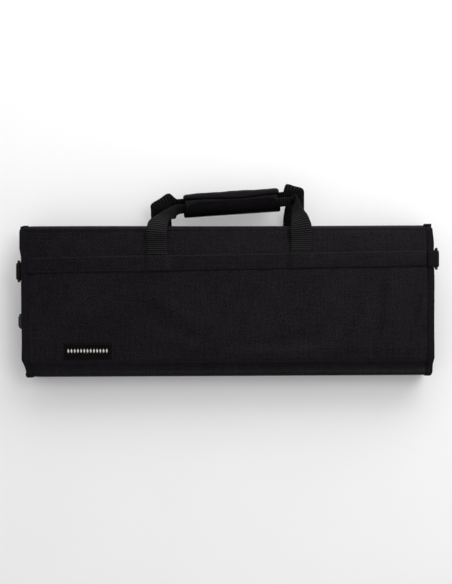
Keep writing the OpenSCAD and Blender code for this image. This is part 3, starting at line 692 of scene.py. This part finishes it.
def strap_lump(x, v):
    """How far the front band stands up over the handle ends, at a place along and across it."""
    left, right = (smooth_step((WEB_W / 2 + 3.5 - np.abs(x - at)) / 4) for at in STRAPS_X)
    return 1.5 * np.maximum(left, right) * np.minimum(1, 2.6 - 3.2 * np.abs(v))


def front_band():
    """Woven band sewn across the front; it rises over the handle ends that it covers."""
    x = np.linspace(-BAND_END, BAND_END, 190)[:, None]
    v = np.linspace(-0.5, 0.5, 11)[None, :]
    bow = 0.25 * np.sin(x / 23) + 0.15 * np.sin(x / 9 + 1)
    y = band_line(x) + v * (BAND_W + bow)
    sewn_down = 1 - 0.4 * np.exp(-((np.abs(v) - 0.36) / 0.06) ** 2)
    puff = 0.2 * np.cos(v * math.pi) * sewn_down
    z = CASE_T - 0.3 + strap_lump(x, v) + puff + sag(x, y)
    grid = np.stack(np.broadcast_arrays(x, y, z), axis=2)
    return slab("front_band_cloth", grid, BAND_T, BAND, edge=0.8, up=0.9)


def back_band():
    """Woven band sewn flat across the back, in a recess of the cloth."""
    z = BACK_BAND_FACE + BAND_T / 2
    grid = [[(x, BAND_Y + v * BAND_W, z) for v in np.linspace(-0.5, 0.5, 5)]
            for x in np.linspace(-BAND_END, BAND_END, 60)]
    return slab("back_band_cloth", grid, BAND_T, BAND, edge=1.0)


for piece, face, body in ((front_band(), "front", "cover"), (back_band(), "back", "back")):
    dress(piece, "webbing", body, f"{face}_band")


def on_front_band(x, v):
    """Place of a stitch on the front band, from its places along and across the band."""
    y = float(band_line(x)) + v * BAND_W
    return x, y, CASE_T + 1.1 + float(strap_lump(x, v)) + float(sag(x, BAND_Y))


def on_back_band(x, v):
    return x, BAND_Y + v * BAND_W, BACK_BAND_FACE + 0.05


def band_row(place, v):
    """One row of stitches along a band."""
    return [place(x, v) for x in np.linspace(-BAND_END + 2.5, BAND_END - 2.5, 160)]


def box_cross(place, at):
    """Square of stitches with a cross in it, over one handle end."""
    half_w, half_v = WEB_W / 2 - 3.5, 0.33
    corner = [(at + s * half_w, v) for s, v in ((-1, -half_v), (1, -half_v), (1, half_v), (-1, half_v))]
    pairs = [(0, 1), (1, 2), (2, 3), (3, 0), (0, 2), (1, 3)]
    lines = []
    for a, b in pairs:
        places = np.array(corner[a]) + np.linspace(0, 1, 12)[:, None] * np.subtract(corner[b], corner[a])
        lines.append([place(x, v) for x, v in places])
    return lines


def band_stitches(name, place, up, straps_x, body, radius):
    """The two rows along a band and the crossed boxes over the handle ends."""
    rows = [band_row(place, v) for v in (-0.4, 0.4)]
    for at in straps_x:
        rows += box_cross(place, at)
    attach(stitches(name, [(row, (0, 0, up)) for row in rows], radius=radius), body)


band_stitches("front_band_stitches", on_front_band, 1, STRAPS_X, "cover", 0.36)
band_stitches("back_band_stitches", on_back_band, -1, BACK_STRAPS_X, "back", 0.2)


def tail(name, x, y0, y1, z, body, node, tuck=0.0):
    """Sewn end of a handle; a tuck takes its end in under the band."""
    band_edge = BAND_Y + BAND_W / 2
    grid = [[(x + v * WEB_W, y, z + tuck * float(smooth_step((band_edge + 3 - y) / 4)))
             for v in np.linspace(-0.5, 0.5, 7)] for y in np.linspace(y0, y1, 24)]
    dress(slab(name, grid, WEB_T, WEBBING, edge=0.7), "webbing", body, node)


for k, (front_x, back_x) in enumerate(zip(STRAPS_X, BACK_STRAPS_X)):
    side_word = ("left", "right")[k]
    tail(f"front_tail_{side_word}", front_x, BAND_Y - 8, BAND_Y + 12.5, CASE_T + 0.8, "cover",
         "front_strap_ends")
    tail(f"back_tail_{side_word}", back_x, BAND_Y + 2, TOP_Y + 0.4, 0.82, "back", "back_strap_ends", 0.9)


def in_grip(s, u, w):
    """Place in the wrap's own axes: along it, away from the case, and up."""
    c, n = math.cos(GRIP_SLANT), math.sin(GRIP_SLANT)
    s, u = np.asarray(s, float), np.asarray(u, float)
    x, y, z = GRIP[0] + s * c - u * n, GRIP[1] + s * n + u * c, GRIP[2] + np.asarray(w, float)
    return np.stack(np.broadcast_arrays(x, y, z), axis=-1)


# Handles. Of each handle end, a is its outer edge and b its inner edge
left_a, left_b = STRAPS_X[0] - WEB_W / 2, STRAPS_X[0] + WEB_W / 2
right_a, right_b = STRAPS_X[1] + WEB_W / 2, STRAPS_X[1] - WEB_W / 2
back_left_a, back_left_b = BACK_STRAPS_X[0] - WEB_W / 2, BACK_STRAPS_X[0] + WEB_W / 2
back_right_a, back_right_b = BACK_STRAPS_X[1] + WEB_W / 2, BACK_STRAPS_X[1] - WEB_W / 2
strap_start_y = BAND_Y + BAND_W / 2 + 2
front_z = CASE_T + WEB_T / 2
back_pivot_y = TOP_Y + 1.5
back_pivot_z = WEB_T / 2
half_s = GRIP_L / 2
# The front handle's edges inside the wrap: away from the case, and up
HIGH_FAR = np.array([1.5, 7.8])
HIGH_NEAR = np.array([-8.8, -1.5])


def held(s, corner):
    """A corner of a handle inside the wrap, a distance along it."""
    return in_grip(s, corner[0], corner[1])


# Edges of the webbing, in points from the left sewn end through the wrap to the right one
front_rail_outer = [
    (left_a, strap_start_y, front_z), (left_a, strap_start_y + 12, front_z + 2),
    (left_a, 84, front_z + 7.5), (left_a + 1.5, 92, front_z + 6.5), (left_a + 5, 99, front_z + 4),
    (left_a + 18, 108.4, 50), (left_a + 32, 115.8, 46.5),
    held(-half_s - 1, HIGH_FAR), held(0, HIGH_FAR), held(half_s + 2, HIGH_FAR),
    (78, 126, 45), (84, 129.5, 47.5), (87.5, 123, 51.5), (right_a - 9, 110.5, 54),
    (right_a - 4, 102, front_z + 5.5), (right_a, 89, front_z + 7.5),
    (right_a, strap_start_y + 12, front_z + 2), (right_a, strap_start_y, front_z),
]
front_rail_inner = [
    (left_b, strap_start_y, front_z), (left_b, strap_start_y + 12, front_z + 2),
    (left_b, 82, front_z + 7), (left_b + 0.5, 89, front_z + 6), (left_b + 1.5, 95, front_z + 2),
    (left_b + 3.5, 99.5, 47), (left_b + 9, 101.5, 36),
    held(-half_s - 1, HIGH_NEAR), held(0, HIGH_NEAR), held(half_s + 2, HIGH_NEAR),
    (77, 117, 31.5), (82.5, 118.5, 32), (80, 112.5, 41), (right_b + 1.5, 104, 49),
    (right_b + 0.5, 96, front_z + 4), (right_b, 86, front_z + 7),
    (right_b, strap_start_y + 12, front_z + 2), (right_b, strap_start_y, front_z),
]
back_rail_outer = [
    (back_left_a, back_pivot_y, back_pivot_z), (back_left_a, 104, 13), (back_left_a + 0.7, 112, 25),
    (back_left_a + 1.8, 119, 34), (back_left_a + 12.7, 125.7, 38.5), (back_left_a + 23.5, 131.7, 41),
    (back_left_a + 32.5, 125.5, 40),
    held(-half_s - 1, -HIGH_NEAR), held(0, -HIGH_NEAR), held(half_s + 2, -HIGH_NEAR),
    (70, 136, 39.5), (73, 142, 43.5), (83, 139.5, 44.5), (back_right_a - 2.8, 136, 41),
    (back_right_a - 1, 125, 31), (back_right_a, 107, 13.5), (back_right_a, back_pivot_y, back_pivot_z),
]
back_rail_inner = [
    (back_left_b, back_pivot_y, back_pivot_z), (back_left_b, 101, 11), (back_left_b + 0.3, 107, 19),
    (back_left_b + 0.8, 110, 23), (back_left_b + 2, 112, 25), (back_left_b + 4, 113.3, 26),
    (back_left_b + 9, 113.5, 26.3),
    held(-half_s - 1, -HIGH_FAR), held(0, -HIGH_FAR), held(half_s + 2, -HIGH_FAR),
    (70, 122.5, 26), (73, 123.5, 25), (74.5, 123, 23.5), (73.5, 120.5, 21),
    (back_right_b + 1.5, 115.5, 17), (back_right_b, 104, 9), (back_right_b, back_pivot_y, back_pivot_z),
]


def strap(name, rail_a, rail_b, node, body):
    """Handle webbing between two rails."""
    a, b = spline(rail_a, 8), spline(rail_b, 8)
    v = np.linspace(0, 1, 9)[None, :, None]
    grid = a[:, None] * (1 - v) + b[:, None] * v
    dress(slab(name, grid, WEB_T, WEBBING, edge=0.8), "webbing", body, node)


strap("front_handle_webbing", front_rail_outer, front_rail_inner, "front_handle_strap", "front_handle")
strap("back_handle_webbing", back_rail_outer, back_rail_inner, "back_handle_strap", "back_handle")

# The wrap: a padded sheet round both handles, with a roll away from the case and a closing flap
ROLL_R = 12.0
ROLL_END = -150.0
FLAP_R = 13.6
FLAP_ROOT = 208.0
FLAP_FREE = 76.0
# Round corners of the flap's free edge: reach round the wrap in degrees, and along it
FLAP_CORNERS = ((66.0, 27.0), (44.0, 15.0))


def wrap_sheet(name, place, s_count, t_count, thick, material, edge):
    """A curved padded sheet round the wrap. place gives its distance along the wrap, its angle in
    degrees and its radius, from s in -1 to 1 along it and t in 0 to 1 round it."""
    s, t = np.meshgrid(np.linspace(-1, 1, s_count), np.linspace(0, 1, t_count), indexing="ij")
    along, angle, radius = place(s, t)
    phi = np.radians(angle)
    grid = in_grip(along, radius * np.cos(phi), radius * np.sin(phi))
    return slab(name, grid, thick, material, edge=edge)


def roll_place(s, t):
    """The padded roll; its upper edge comes furthest over the handles a little right of the middle."""
    upper = 58 + 17 * np.exp(-(((s - 0.15) / 0.55) ** 2))
    angle = upper + (ROLL_END - upper) * t
    soft = 0.25 * np.sin(s * 8 + angle / 31) + 0.15 * np.sin(s * 19 + 1.7 + angle / 17)
    ends = -0.9 * smooth_step((np.abs(s) - 0.92) / 0.08)
    return s * half_s, angle, ROLL_R + soft + ends


def under_place(s, t):
    """The loop patch, which reaches on from the roll's upper edge under the flap."""
    return s * (half_s - 3), 112 - 52 * t, 11.2 + 0 * s


def flap_place(s, t):
    """The flap; its free edge has one long and one short round corner, as in the photograph."""
    angle = FLAP_ROOT + (FLAP_FREE - FLAP_ROOT) * t
    along = s * half_s
    for sign, (turn, cut) in zip((-1, 1), FLAP_CORNERS):
        into_corner = np.clip(1 - (angle - FLAP_FREE) / turn, 0, 1)
        gone = cut * (1 - np.sqrt(1 - into_corner ** 2))
        along = np.where(s * sign > 0, s * (half_s - gone), along)
    lift = 0.7 * np.exp(-((angle - FLAP_FREE) / 12) ** 2) * (0.4 + np.abs(s))
    soft = 0.3 * np.sin(s * 7 + 0.6) * np.exp(-((angle - 120) / 40) ** 2)
    return along, angle, FLAP_R + lift + soft


def hook_place(s, t):
    """The hook patch inside the flap."""
    return s * (half_s - 30) + 6, 112 - 24 * t, 12.5 + 0 * s


SWELL_FRAMES = 20


def inflate(piece, voxel, cap, pressure):
    """Swells a padded piece as cloth under a little air, and keeps each point within cap of its start."""
    bpy.context.view_layer.objects.active = piece
    remesh = piece.modifiers.new("remesh", "REMESH")
    remesh.mode = "VOXEL"
    remesh.voxel_size = voxel * MM
    remesh.use_smooth_shade = True
    start = bake(piece)
    piece.modifiers.clear()
    piece.data = start
    cloth = piece.modifiers.new("cloth", "CLOTH")
    cloth.settings.quality = 6
    cloth.settings.mass = 0.1
    cloth.settings.tension_stiffness = 12
    cloth.settings.compression_stiffness = 12
    cloth.settings.bending_stiffness = 0.6
    cloth.settings.use_pressure = True
    cloth.settings.uniform_pressure_force = pressure
    cloth.settings.effector_weights.gravity = 0
    cloth.point_cache.frame_start = 1
    cloth.point_cache.frame_end = SWELL_FRAMES
    for number in range(1, SWELL_FRAMES + 1):
        bpy.context.scene.frame_set(number)
    swollen = bake(piece)
    count = len(start.vertices)
    before, after = np.zeros(count * 3), np.zeros(count * 3)
    start.vertices.foreach_get("co", before)
    swollen.vertices.foreach_get("co", after)
    move = (after - before).reshape(-1, 3)
    size = np.linalg.norm(move, axis=1, keepdims=True)
    move *= np.minimum(1, cap * MM / np.maximum(size, 1e-9))
    start.vertices.foreach_set("co", (before.reshape(-1, 3) + move).ravel())
    piece.modifiers.clear()
    finer = piece.modifiers.new("finer", "SUBSURF")
    finer.levels = 1
    piece.data = bake(piece)
    piece.modifiers.clear()
    bpy.context.scene.frame_set(1)


def bake(piece):
    """The mesh that the modifiers give."""
    bpy.context.view_layer.update()
    return bpy.data.meshes.new_from_object(piece.evaluated_get(bpy.context.evaluated_depsgraph_get()))


roll = wrap_sheet("wrap_roll", roll_place, 61, 40, 4.2, NYLON_PADDED, 3.2)
turn_out(roll)
inflate(roll, voxel=1.6, cap=5.0, pressure=1.5)
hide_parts("grip_wrap")
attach(roll, "back_handle")
dress(wrap_sheet("wrap_under", under_place, 41, 10, 1.6, HOOK, 1.0), "webbing", "back_handle", "loop_patch")
flap = wrap_sheet("wrap_flap", flap_place, 81, 44, 2.2, NYLON_PADDED, 1.6)
turn_out(flap)
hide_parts("grip_flap", "grip_wrap")
flap_bend = (tuple(in_grip(0, u, w) * MM) for u, w in ((-14.5, 1), (-12.5, 9)))
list(flap_bend)
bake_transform(flap)
dress(wrap_sheet("flap_hooks", hook_place, 31, 6, 0.5, HOOK, 0.4), "webbing", "flap", "hook_patch")


# Side walls and zip
def wall_line():
    """Line along the side walls seen from above: left side, top and right side."""
    start_y = FOLD_Y + FOLD_R + 0.6
    x, y, r = WALL_X, WALL_Y, WALL_R
    points = [(-x, v) for v in np.arange(start_y, y - r, 4.0)]
    points += arc(-x + r, y - r, r, 180, 90, 13)
    points += [(v, y) for v in np.arange(-x + r + 5, x - r, 5.0)]
    points += arc(x - r, y - r, r, 90, 0, 13)
    points += [(x, v) for v in np.arange(start_y, y - r, 4.0)[::-1]]
    return np.array(points)


WALL_LINE = wall_line()
WALL_OUT = section_normals(WALL_LINE, -1)
WALL_RUN = lengths(WALL_LINE)


def wall_sheet(name, node, body, slot, material, thick, out, heights, bulge=0.0):
    """A wall or tape that runs round three sides, with its middle face out from the wall's line."""
    soft = bulge * (0.6 * np.sin(WALL_RUN / 19) + 0.4 * np.sin(WALL_RUN / 7 + 1))
    grid = np.zeros((len(WALL_LINE), len(heights), 3))
    for k, z in enumerate(heights):
        swell = math.sin(math.pi * k / (len(heights) - 1)) * soft
        grid[:, k, :2] = WALL_LINE + WALL_OUT * (out + swell)[:, None]
        grid[:, k, 2] = z
    piece = slab(name, grid, thick, material, edge=min(0.6, thick / 2))
    dress(piece, slot, body, node)


WALL_SWELL = 0.25
wall_sheet("back_wall", "back_gusset", "back", "case_fabric", NYLON, WALL_T, -WALL_T / 2,
           np.linspace(PANEL_T - 0.6, BACK_WALL_TOP, 7), WALL_SWELL)
wall_sheet("front_wall", "front_gusset", "cover", "case_fabric", NYLON, WALL_T, -WALL_T / 2,
           np.linspace(FRONT_WALL_LOW, CASE_T - PANEL_T + 0.6, 9), WALL_SWELL)

# The zip's tapes lie on the walls' outer faces and end just short of the middle of the zip
TAPE_T = 0.6
TAPE_OUT = 0.45
TAPE_FACE = 0.85
TAPE_HOLD = 7.5
TAPE_GAP = 0.7
wall_sheet("back_tape", "back_zip_tape", "back", "webbing", TAPE, TAPE_T, TAPE_OUT,
           np.linspace(BACK_WALL_TOP - TAPE_HOLD, ZIP_Z - TAPE_GAP, 5))
wall_sheet("front_tape", "front_zip_tape", "cover", "webbing", TAPE, TAPE_T, TAPE_OUT,
           np.linspace(ZIP_Z + TAPE_GAP, FRONT_WALL_LOW + TAPE_HOLD, 5))


def tape_row(z):
    """A row of stitches along a tape at one height."""
    flat = WALL_LINE + WALL_OUT * TAPE_FACE
    return [(x, y, z) for x, y in flat], [(x, y, 0) for x, y in WALL_OUT]


for half, body, edge_z, way in (("back", "back", BACK_WALL_TOP, -1), ("front", "cover", FRONT_WALL_LOW, 1)):
    rows = [tape_row(edge_z + way * inset) for inset in (2, 6)]
    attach(stitches(f"{half}_tape_stitches", rows), body)

PIPING_R = 1.1


def piping(name, z, body):
    """Thin bound seam where the wall meets its panel."""
    rings = []
    for (x, y), n in zip(WALL_LINE, WALL_OUT):
        ring = []
        for a in np.arange(8) * math.pi / 4:
            out = 0.4 + PIPING_R * math.cos(a)
            ring.append((x + n[0] * out, y + n[1] * out, z + PIPING_R * math.sin(a)))
        rings.append(ring)
    dress(loft(name, rings, BINDING), "binding_fabric", body)


piping("back_seam_piping", PANEL_T + 0.9, "back")
piping("front_seam_piping", CASE_T - PANEL_T - 0.9, "cover")

TOOTH_PITCH = 2.6
# Outline of a tooth with cut corners, in shares of its half width and half thickness
TOOTH_OUTLINE = (
    (-1, -0.6), (-0.6, -1), (0.6, -1), (1, -0.6), (1, 0.6), (0.6, 1), (-0.6, 1), (-1, 0.6))
# (height from the middle of the zip, half width along the chain, half thickness)
TOOTH_SHAPE = (
    (3.4, 0.45, 0.9), (1.5, 0.5, 1.1), (0.6, 0.4, 1.1), (-0.1, 0.62, 1.05), (-0.75, 0.45, 0.85))


def tooth_chain(name, node, body, shift, up):
    """Moulded teeth along the three sides, with heads that reach between the facing teeth."""
    points, faces = [], []
    for k in range(int(WALL_RUN[-1] / TOOTH_PITCH)):
        at = (k + shift) * TOOTH_PITCH
        p = np.array([np.interp(at, WALL_RUN, WALL_LINE[:, c]) for c in range(2)])
        n = np.array([np.interp(at, WALL_RUN, WALL_OUT[:, c]) for c in range(2)])
        n /= np.linalg.norm(n)
        t = np.array([n[1], -n[0]])
        mid = p + n * 0.4
        start = len(points)
        for height, wide, thick in TOOTH_SHAPE:
            z = ZIP_Z + (height if up else -height)
            for a, b in TOOTH_OUTLINE:
                q = mid + t * a * wide + n * b * thick
                points.append((q[0], q[1], z))
        faces += capped_tube(start, len(TOOTH_SHAPE), len(TOOTH_OUTLINE))
    dress(make_mesh(name, points, faces, TEETH, smooth=False), "zip_teeth", body, node)


tooth_chain("back_teeth", "back_zip_teeth", "back", 0.25, False)
tooth_chain("front_teeth", "front_zip_teeth", "cover", 0.75, True)

# Tabs of the D-rings
TAB_W = 20.0


def ring_tab(name, node, side, reach):
    """Webbing folded round a ring's bar, its two layers sewn together on the flange."""
    low, high = mm_box(node)
    mid_y = (low[1] + high[1]) / 2
    ring_z = (low[2] + high[2]) / 2
    ring_x = side * (max(abs(low[0]), abs(high[0])) - 3.2)
    # (distance out from the ring's bar, height), once round the bar
    line = [(-reach, 0.75), (-5, 0.8), (-2.6, 1.3)]
    line += arc(0, 0, 2.45, 125, -125, 17)
    line += [(-2.6, -1.3), (-5, -0.8), (-reach, -0.75)]
    across = np.linspace(-0.5, 0.5, 9)
    grid = [[(ring_x + side * a, mid_y + v * TAB_W, ring_z + h) for v in across] for a, h in line]
    dress(slab(name, grid, 1.35, TAB_WEBBING, edge=0.6), "webbing", "cover", node)
    rows = [[(ring_x - side * inset, mid_y + v, ring_z + 1.5) for v in np.linspace(-9, 9, 8)]
            for inset in (6, 9)]
    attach(stitches(name + "_stitches", [(row, (0, 0, 1)) for row in rows]), "cover")


ring_tab("left_tab_webbing", "left_ring_tab", -1, 9.5)
ring_tab("right_tab_webbing", "right_ring_tab", 1, 10.2)


def label_base(x, y):
    """Height of the label's middle face."""
    return face_z(y) + float(sag(x, y)) + 0.25 + 0.12 * math.sin(x / 11)


# Label: a bare woven patch with a plain row of lozenges
label_low, label_high = mm_box("label_patch")
label_grid = [[(x, y, label_base(x, y)) for y in np.linspace(label_low[1], label_high[1], 14)]
              for x in np.linspace(label_low[0], label_high[0], 40)]
label = slab("label_cloth", label_grid, 0.9, LABEL, edge=0.8, up=0.7)
dress(label, "label_fabric", "cover", "label_patch")


def label_rim():
    """Four rows of stitches just inside the label's edge."""
    x0, y0 = label_low[:2] + 1.3
    x1, y1 = label_high[:2] - 1.3
    corners = [(x0, y0), (x1, y0), (x1, y1), (x0, y1), (x0, y0)]
    lines = []
    for a, b in zip(corners, corners[1:]):
        row = np.array(a) + np.linspace(0, 1, 16)[:, None] * np.subtract(b, a)
        lines.append(([(x, y, label_base(x, y) + 0.5) for x, y in row], (0, 0, 1)))
    return lines


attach(stitches("label_stitches", label_rim(), length=1.6, gap=0.8, radius=0.22), "cover")


def lozenges():
    """Plain row of woven lozenges along the middle of the label."""
    points, faces = [], []
    count = 13
    wide, tall = 1.25, 2.7
    mid_y = (label_low[1] + label_high[1]) / 2 + 0.6
    for k in range(count):
        x = label_low[0] + 5.6 + (label_high[0] - label_low[0] - 11.2) * k / (count - 1)
        rim = [(x + wide, mid_y), (x, mid_y + tall), (x - wide, mid_y), (x, mid_y - tall)]
        start = len(points)
        points.append((x, mid_y, label_base(x, mid_y) + 0.95))
        points += [(a, b, label_base(a, b) + 0.7) for a, b in rim]
        points += [(a, b, label_base(a, b)) for a, b in rim]
        for a in range(4):
            b = (a + 1) % 4
            faces.append((start, start + 1 + a, start + 1 + b))
            faces.append((start + 1 + a, start + 5 + a, start + 5 + b, start + 1 + b))
        faces.append((start + 8, start + 7, start + 6, start + 5))
    return make_mesh("label_lozenges", points, faces, LABEL_THREAD, smooth=False)


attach(lozenges(), "cover")


# Inside of the case
def lining(half, sign, body):
    """Inner cloth of one half."""
    x = np.linspace(-WALL_X + WALL_T, WALL_X - WALL_T, 80)
    y = np.linspace(FOLD_Y + (10 if sign > 0 else 14), WALL_Y - WALL_T, 36)
    level = PANEL_T if sign > 0 else CASE_T - PANEL_T
    x, y = np.meshgrid(x, y, indexing="ij")
    z = level + sign * (0.06 * np.sin(x / 13 + y / 21) - 0.15)
    grid = np.stack([x, y, z], axis=2)
    piece = slab(f"{half}_lining_cloth", grid, 1.2, LINING, edge=0.6, up=0.1 if sign > 0 else 0.9)
    dress(piece, "lining_fabric", body, f"{half}_lining")


lining("back", 1, "back")
lining("front", -1, "cover")


def fold_lining(name, fold_z, sign, panel_z):
    """Lining that bridges a fold from its panel to the inside of the spine."""
    r = FOLD_R + 0.5
    path = [(FOLD_Y + 12.5, panel_z), (FOLD_Y + 9.5, panel_z)]
    near = math.degrees(math.asin(max(-1, min(1, (panel_z - fold_z) / r))))
    path += arc(FOLD_Y, fold_z, r, near, sign * 80, 12)
    path += [(FOLD_Y - 1.5, z) for z in np.linspace(fold_z + sign * (r + 0.3), ZIP_Z, 5)]
    x = np.linspace(-SPINE_HALF + 1, SPINE_HALF - 1, 60)
    grid = [[(a, b, c) for a in x] for b, c in path]
    piece = slab(name, grid, 0.8, LINING, edge=0.4)
    turn_out(piece)
    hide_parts("spine_lining")
    start = (0, (FOLD_Y - 3) * MM, (fold_z + sign * 7) * MM)
    end = (0, (FOLD_Y + 7) * MM, (fold_z - sign * 3) * MM)
    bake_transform(piece)
    return piece


fold_lining("back_fold_lining", FOLD_R, 1, PANEL_T + 0.3)
fold_lining("front_fold_lining", FRONT_FOLD_Z, -1, CASE_T - PANEL_T - 6.3)


def sleeve(name, node, sign, body):
    """Sewn sleeve, swelling a little between its seams, with a bound mouth."""
    low, high = mm_box(node)
    mid_y = (low[1] + high[1]) / 2
    width = high[1] - low[1]
    height = high[2] - low[2]
    base = low[2] if sign > 0 else high[2]
    x = np.linspace(low[0], high[0], 60)
    # (share of the width, share of the height)
    profile = [(-0.5, 0.0), (-0.485, 0.45), (-0.45, 0.82), (-0.36, 0.97), (-0.2, 1.0), (0.0, 1.02),
               (0.2, 1.0), (0.36, 0.97), (0.45, 0.82), (0.485, 0.45), (0.5, 0.0)]
    grid = np.zeros((len(x), len(profile), 3))
    for i, a in enumerate(x):
        close = float(smooth_step((a - low[0]) / 12))
        soft = 1 + 0.05 * math.sin(a / 15 + mid_y)
        for j, (v, h) in enumerate(profile):
            scoop = 8.1 * max(0.0, 1 - (v / 0.34) ** 2) if i == len(x) - 1 else 0
            rise = height * h * (0.12 + 0.88 * close) * soft * 0.97
            grid[i, j] = (a - scoop, mid_y + v * width, base + sign * rise)
    piece = dress(slab(name, grid, 0.9, LINING, edge=0.4), "lining_fabric", body, node)
    rows = []
    for s in (-1, 1):
        seam_y = mid_y + s * (width / 2 + 0.6)
        row = [(a, seam_y, base + sign * 0.35) for a in np.linspace(low[0], high[0], 50)]
        rows.append((row, (0, 0, sign)))
    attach(stitches(name + "_stitches", rows, radius=0.25), body)


for what, count, sign, body in (("knife", 5, 1, "back"), ("tool", 4, -1, "cover")):
    for k in range(1, count + 1):
        sleeve(f"{what}_sleeve_cloth_{k}", f"{what}_sleeve_{k}", sign, body)


def elastic(name, node, sign, body):
    """Elastic band that rises a little between the places where it is sewn down."""
    low, high = mm_box(node)
    x = np.linspace(low[0], high[0], 9)
    y = np.linspace(low[1], high[1], 50)
    base = low[2] if sign > 0 else high[2]
    grid = [[(a, b, base + sign * (0.5 + 0.35 * abs(math.sin(b / 30 * math.pi)))) for b in y] for a in x]
    dress(slab(name, grid, 0.9, ELASTIC, edge=0.5), "webbing", body, node)


elastic("knife_elastic_cloth", "knife_elastic", 1, "back")
elastic("tool_elastic_cloth", "tool_elastic", -1, "cover")

# Rigid parts that keep their own shape
KEPT = {
    BOARD: ("back_board", "front_board", "spine_board"),
    ENAMEL: ("upper_slider", "lower_slider"),
    WIRE: ("upper_pull_ring", "lower_pull_ring", "left_d_ring", "right_d_ring"),
    PLASTIC: ("upper_pull_grip", "lower_pull_grip"),
}
for material, names in KEPT.items():
    for name in names:
        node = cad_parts[name]
        node.data.materials.clear()
        node.data.materials.append(material)

# Floor, light and camera
floor_finish = Finish("floor_paint", "Object")
floor_tone = floor_finish.tint(floor_finish.noise(120, 2.0, 0.5), (0.84, 0.84, 0.845), (0.87, 0.87, 0.872))
floor_finish.surface(floor_tone, 0.6, Specular_IOR_Level=0.2)
FLOOR_HALF = 6000.0
FLOOR_Z = -0.3
floor_corners = [(a * FLOOR_HALF, b * FLOOR_HALF, FLOOR_Z) for a, b in ((-1, -1), (1, -1), (1, 1), (-1, 1))]
floor = make_mesh("floor", floor_corners, [(0, 1, 2, 3)], floor_finish.material)

world = bpy.data.worlds.new("sky")
bpy.context.scene.world = world
world.use_nodes = True
world.node_tree.nodes["Background"].inputs["Color"].default_value = (1, 1, 1, 1)
world.node_tree.nodes["Background"].inputs["Strength"].default_value = 0.66


def lamp(name, place, target, size, power):
    data = bpy.data.lights.new(name, "AREA")
    data.shape = "RECTANGLE"
    data.size, data.size_y = size
    data.energy = power
    made = bpy.data.objects.new(name, data)
    made.location = place
    made.rotation_mode = "QUATERNION"
    made.rotation_quaternion = (Vector(target) - Vector(place)).to_track_quat("-Z", "Y")
    bpy.context.scene.collection.objects.link(made)


lamp("window", (0.4, 1.05, 0.66), (0, 0, 0), (1.7, 1.0), 14.5)
lamp("ceiling", (0.8, 0.5, 1.9), (0.1, 0, 0), (0.8, 0.7), 8)

# The photograph looks straight down from about 1.3 m over the front face
PIXEL = 1.21
PHOTO_LONG = 584
CAMERA_HEIGHT = 1300.0
ROLL = math.radians(0.29)
camera_data = bpy.data.cameras.new("camera")
camera_data.sensor_width = 36
camera_data.lens = 36 * CAMERA_HEIGHT / (PHOTO_LONG * PIXEL)
camera = bpy.data.objects.new("camera", camera_data)
camera.location = (-1.2 * MM, 11.1 * MM, (CASE_T + CAMERA_HEIGHT) * MM)
camera.rotation_euler = (0, 0, -ROLL)
bpy.context.scene.collection.objects.link(camera)
bpy.context.scene.camera = camera
bpy.context.scene.view_settings.view_transform = "Standard"
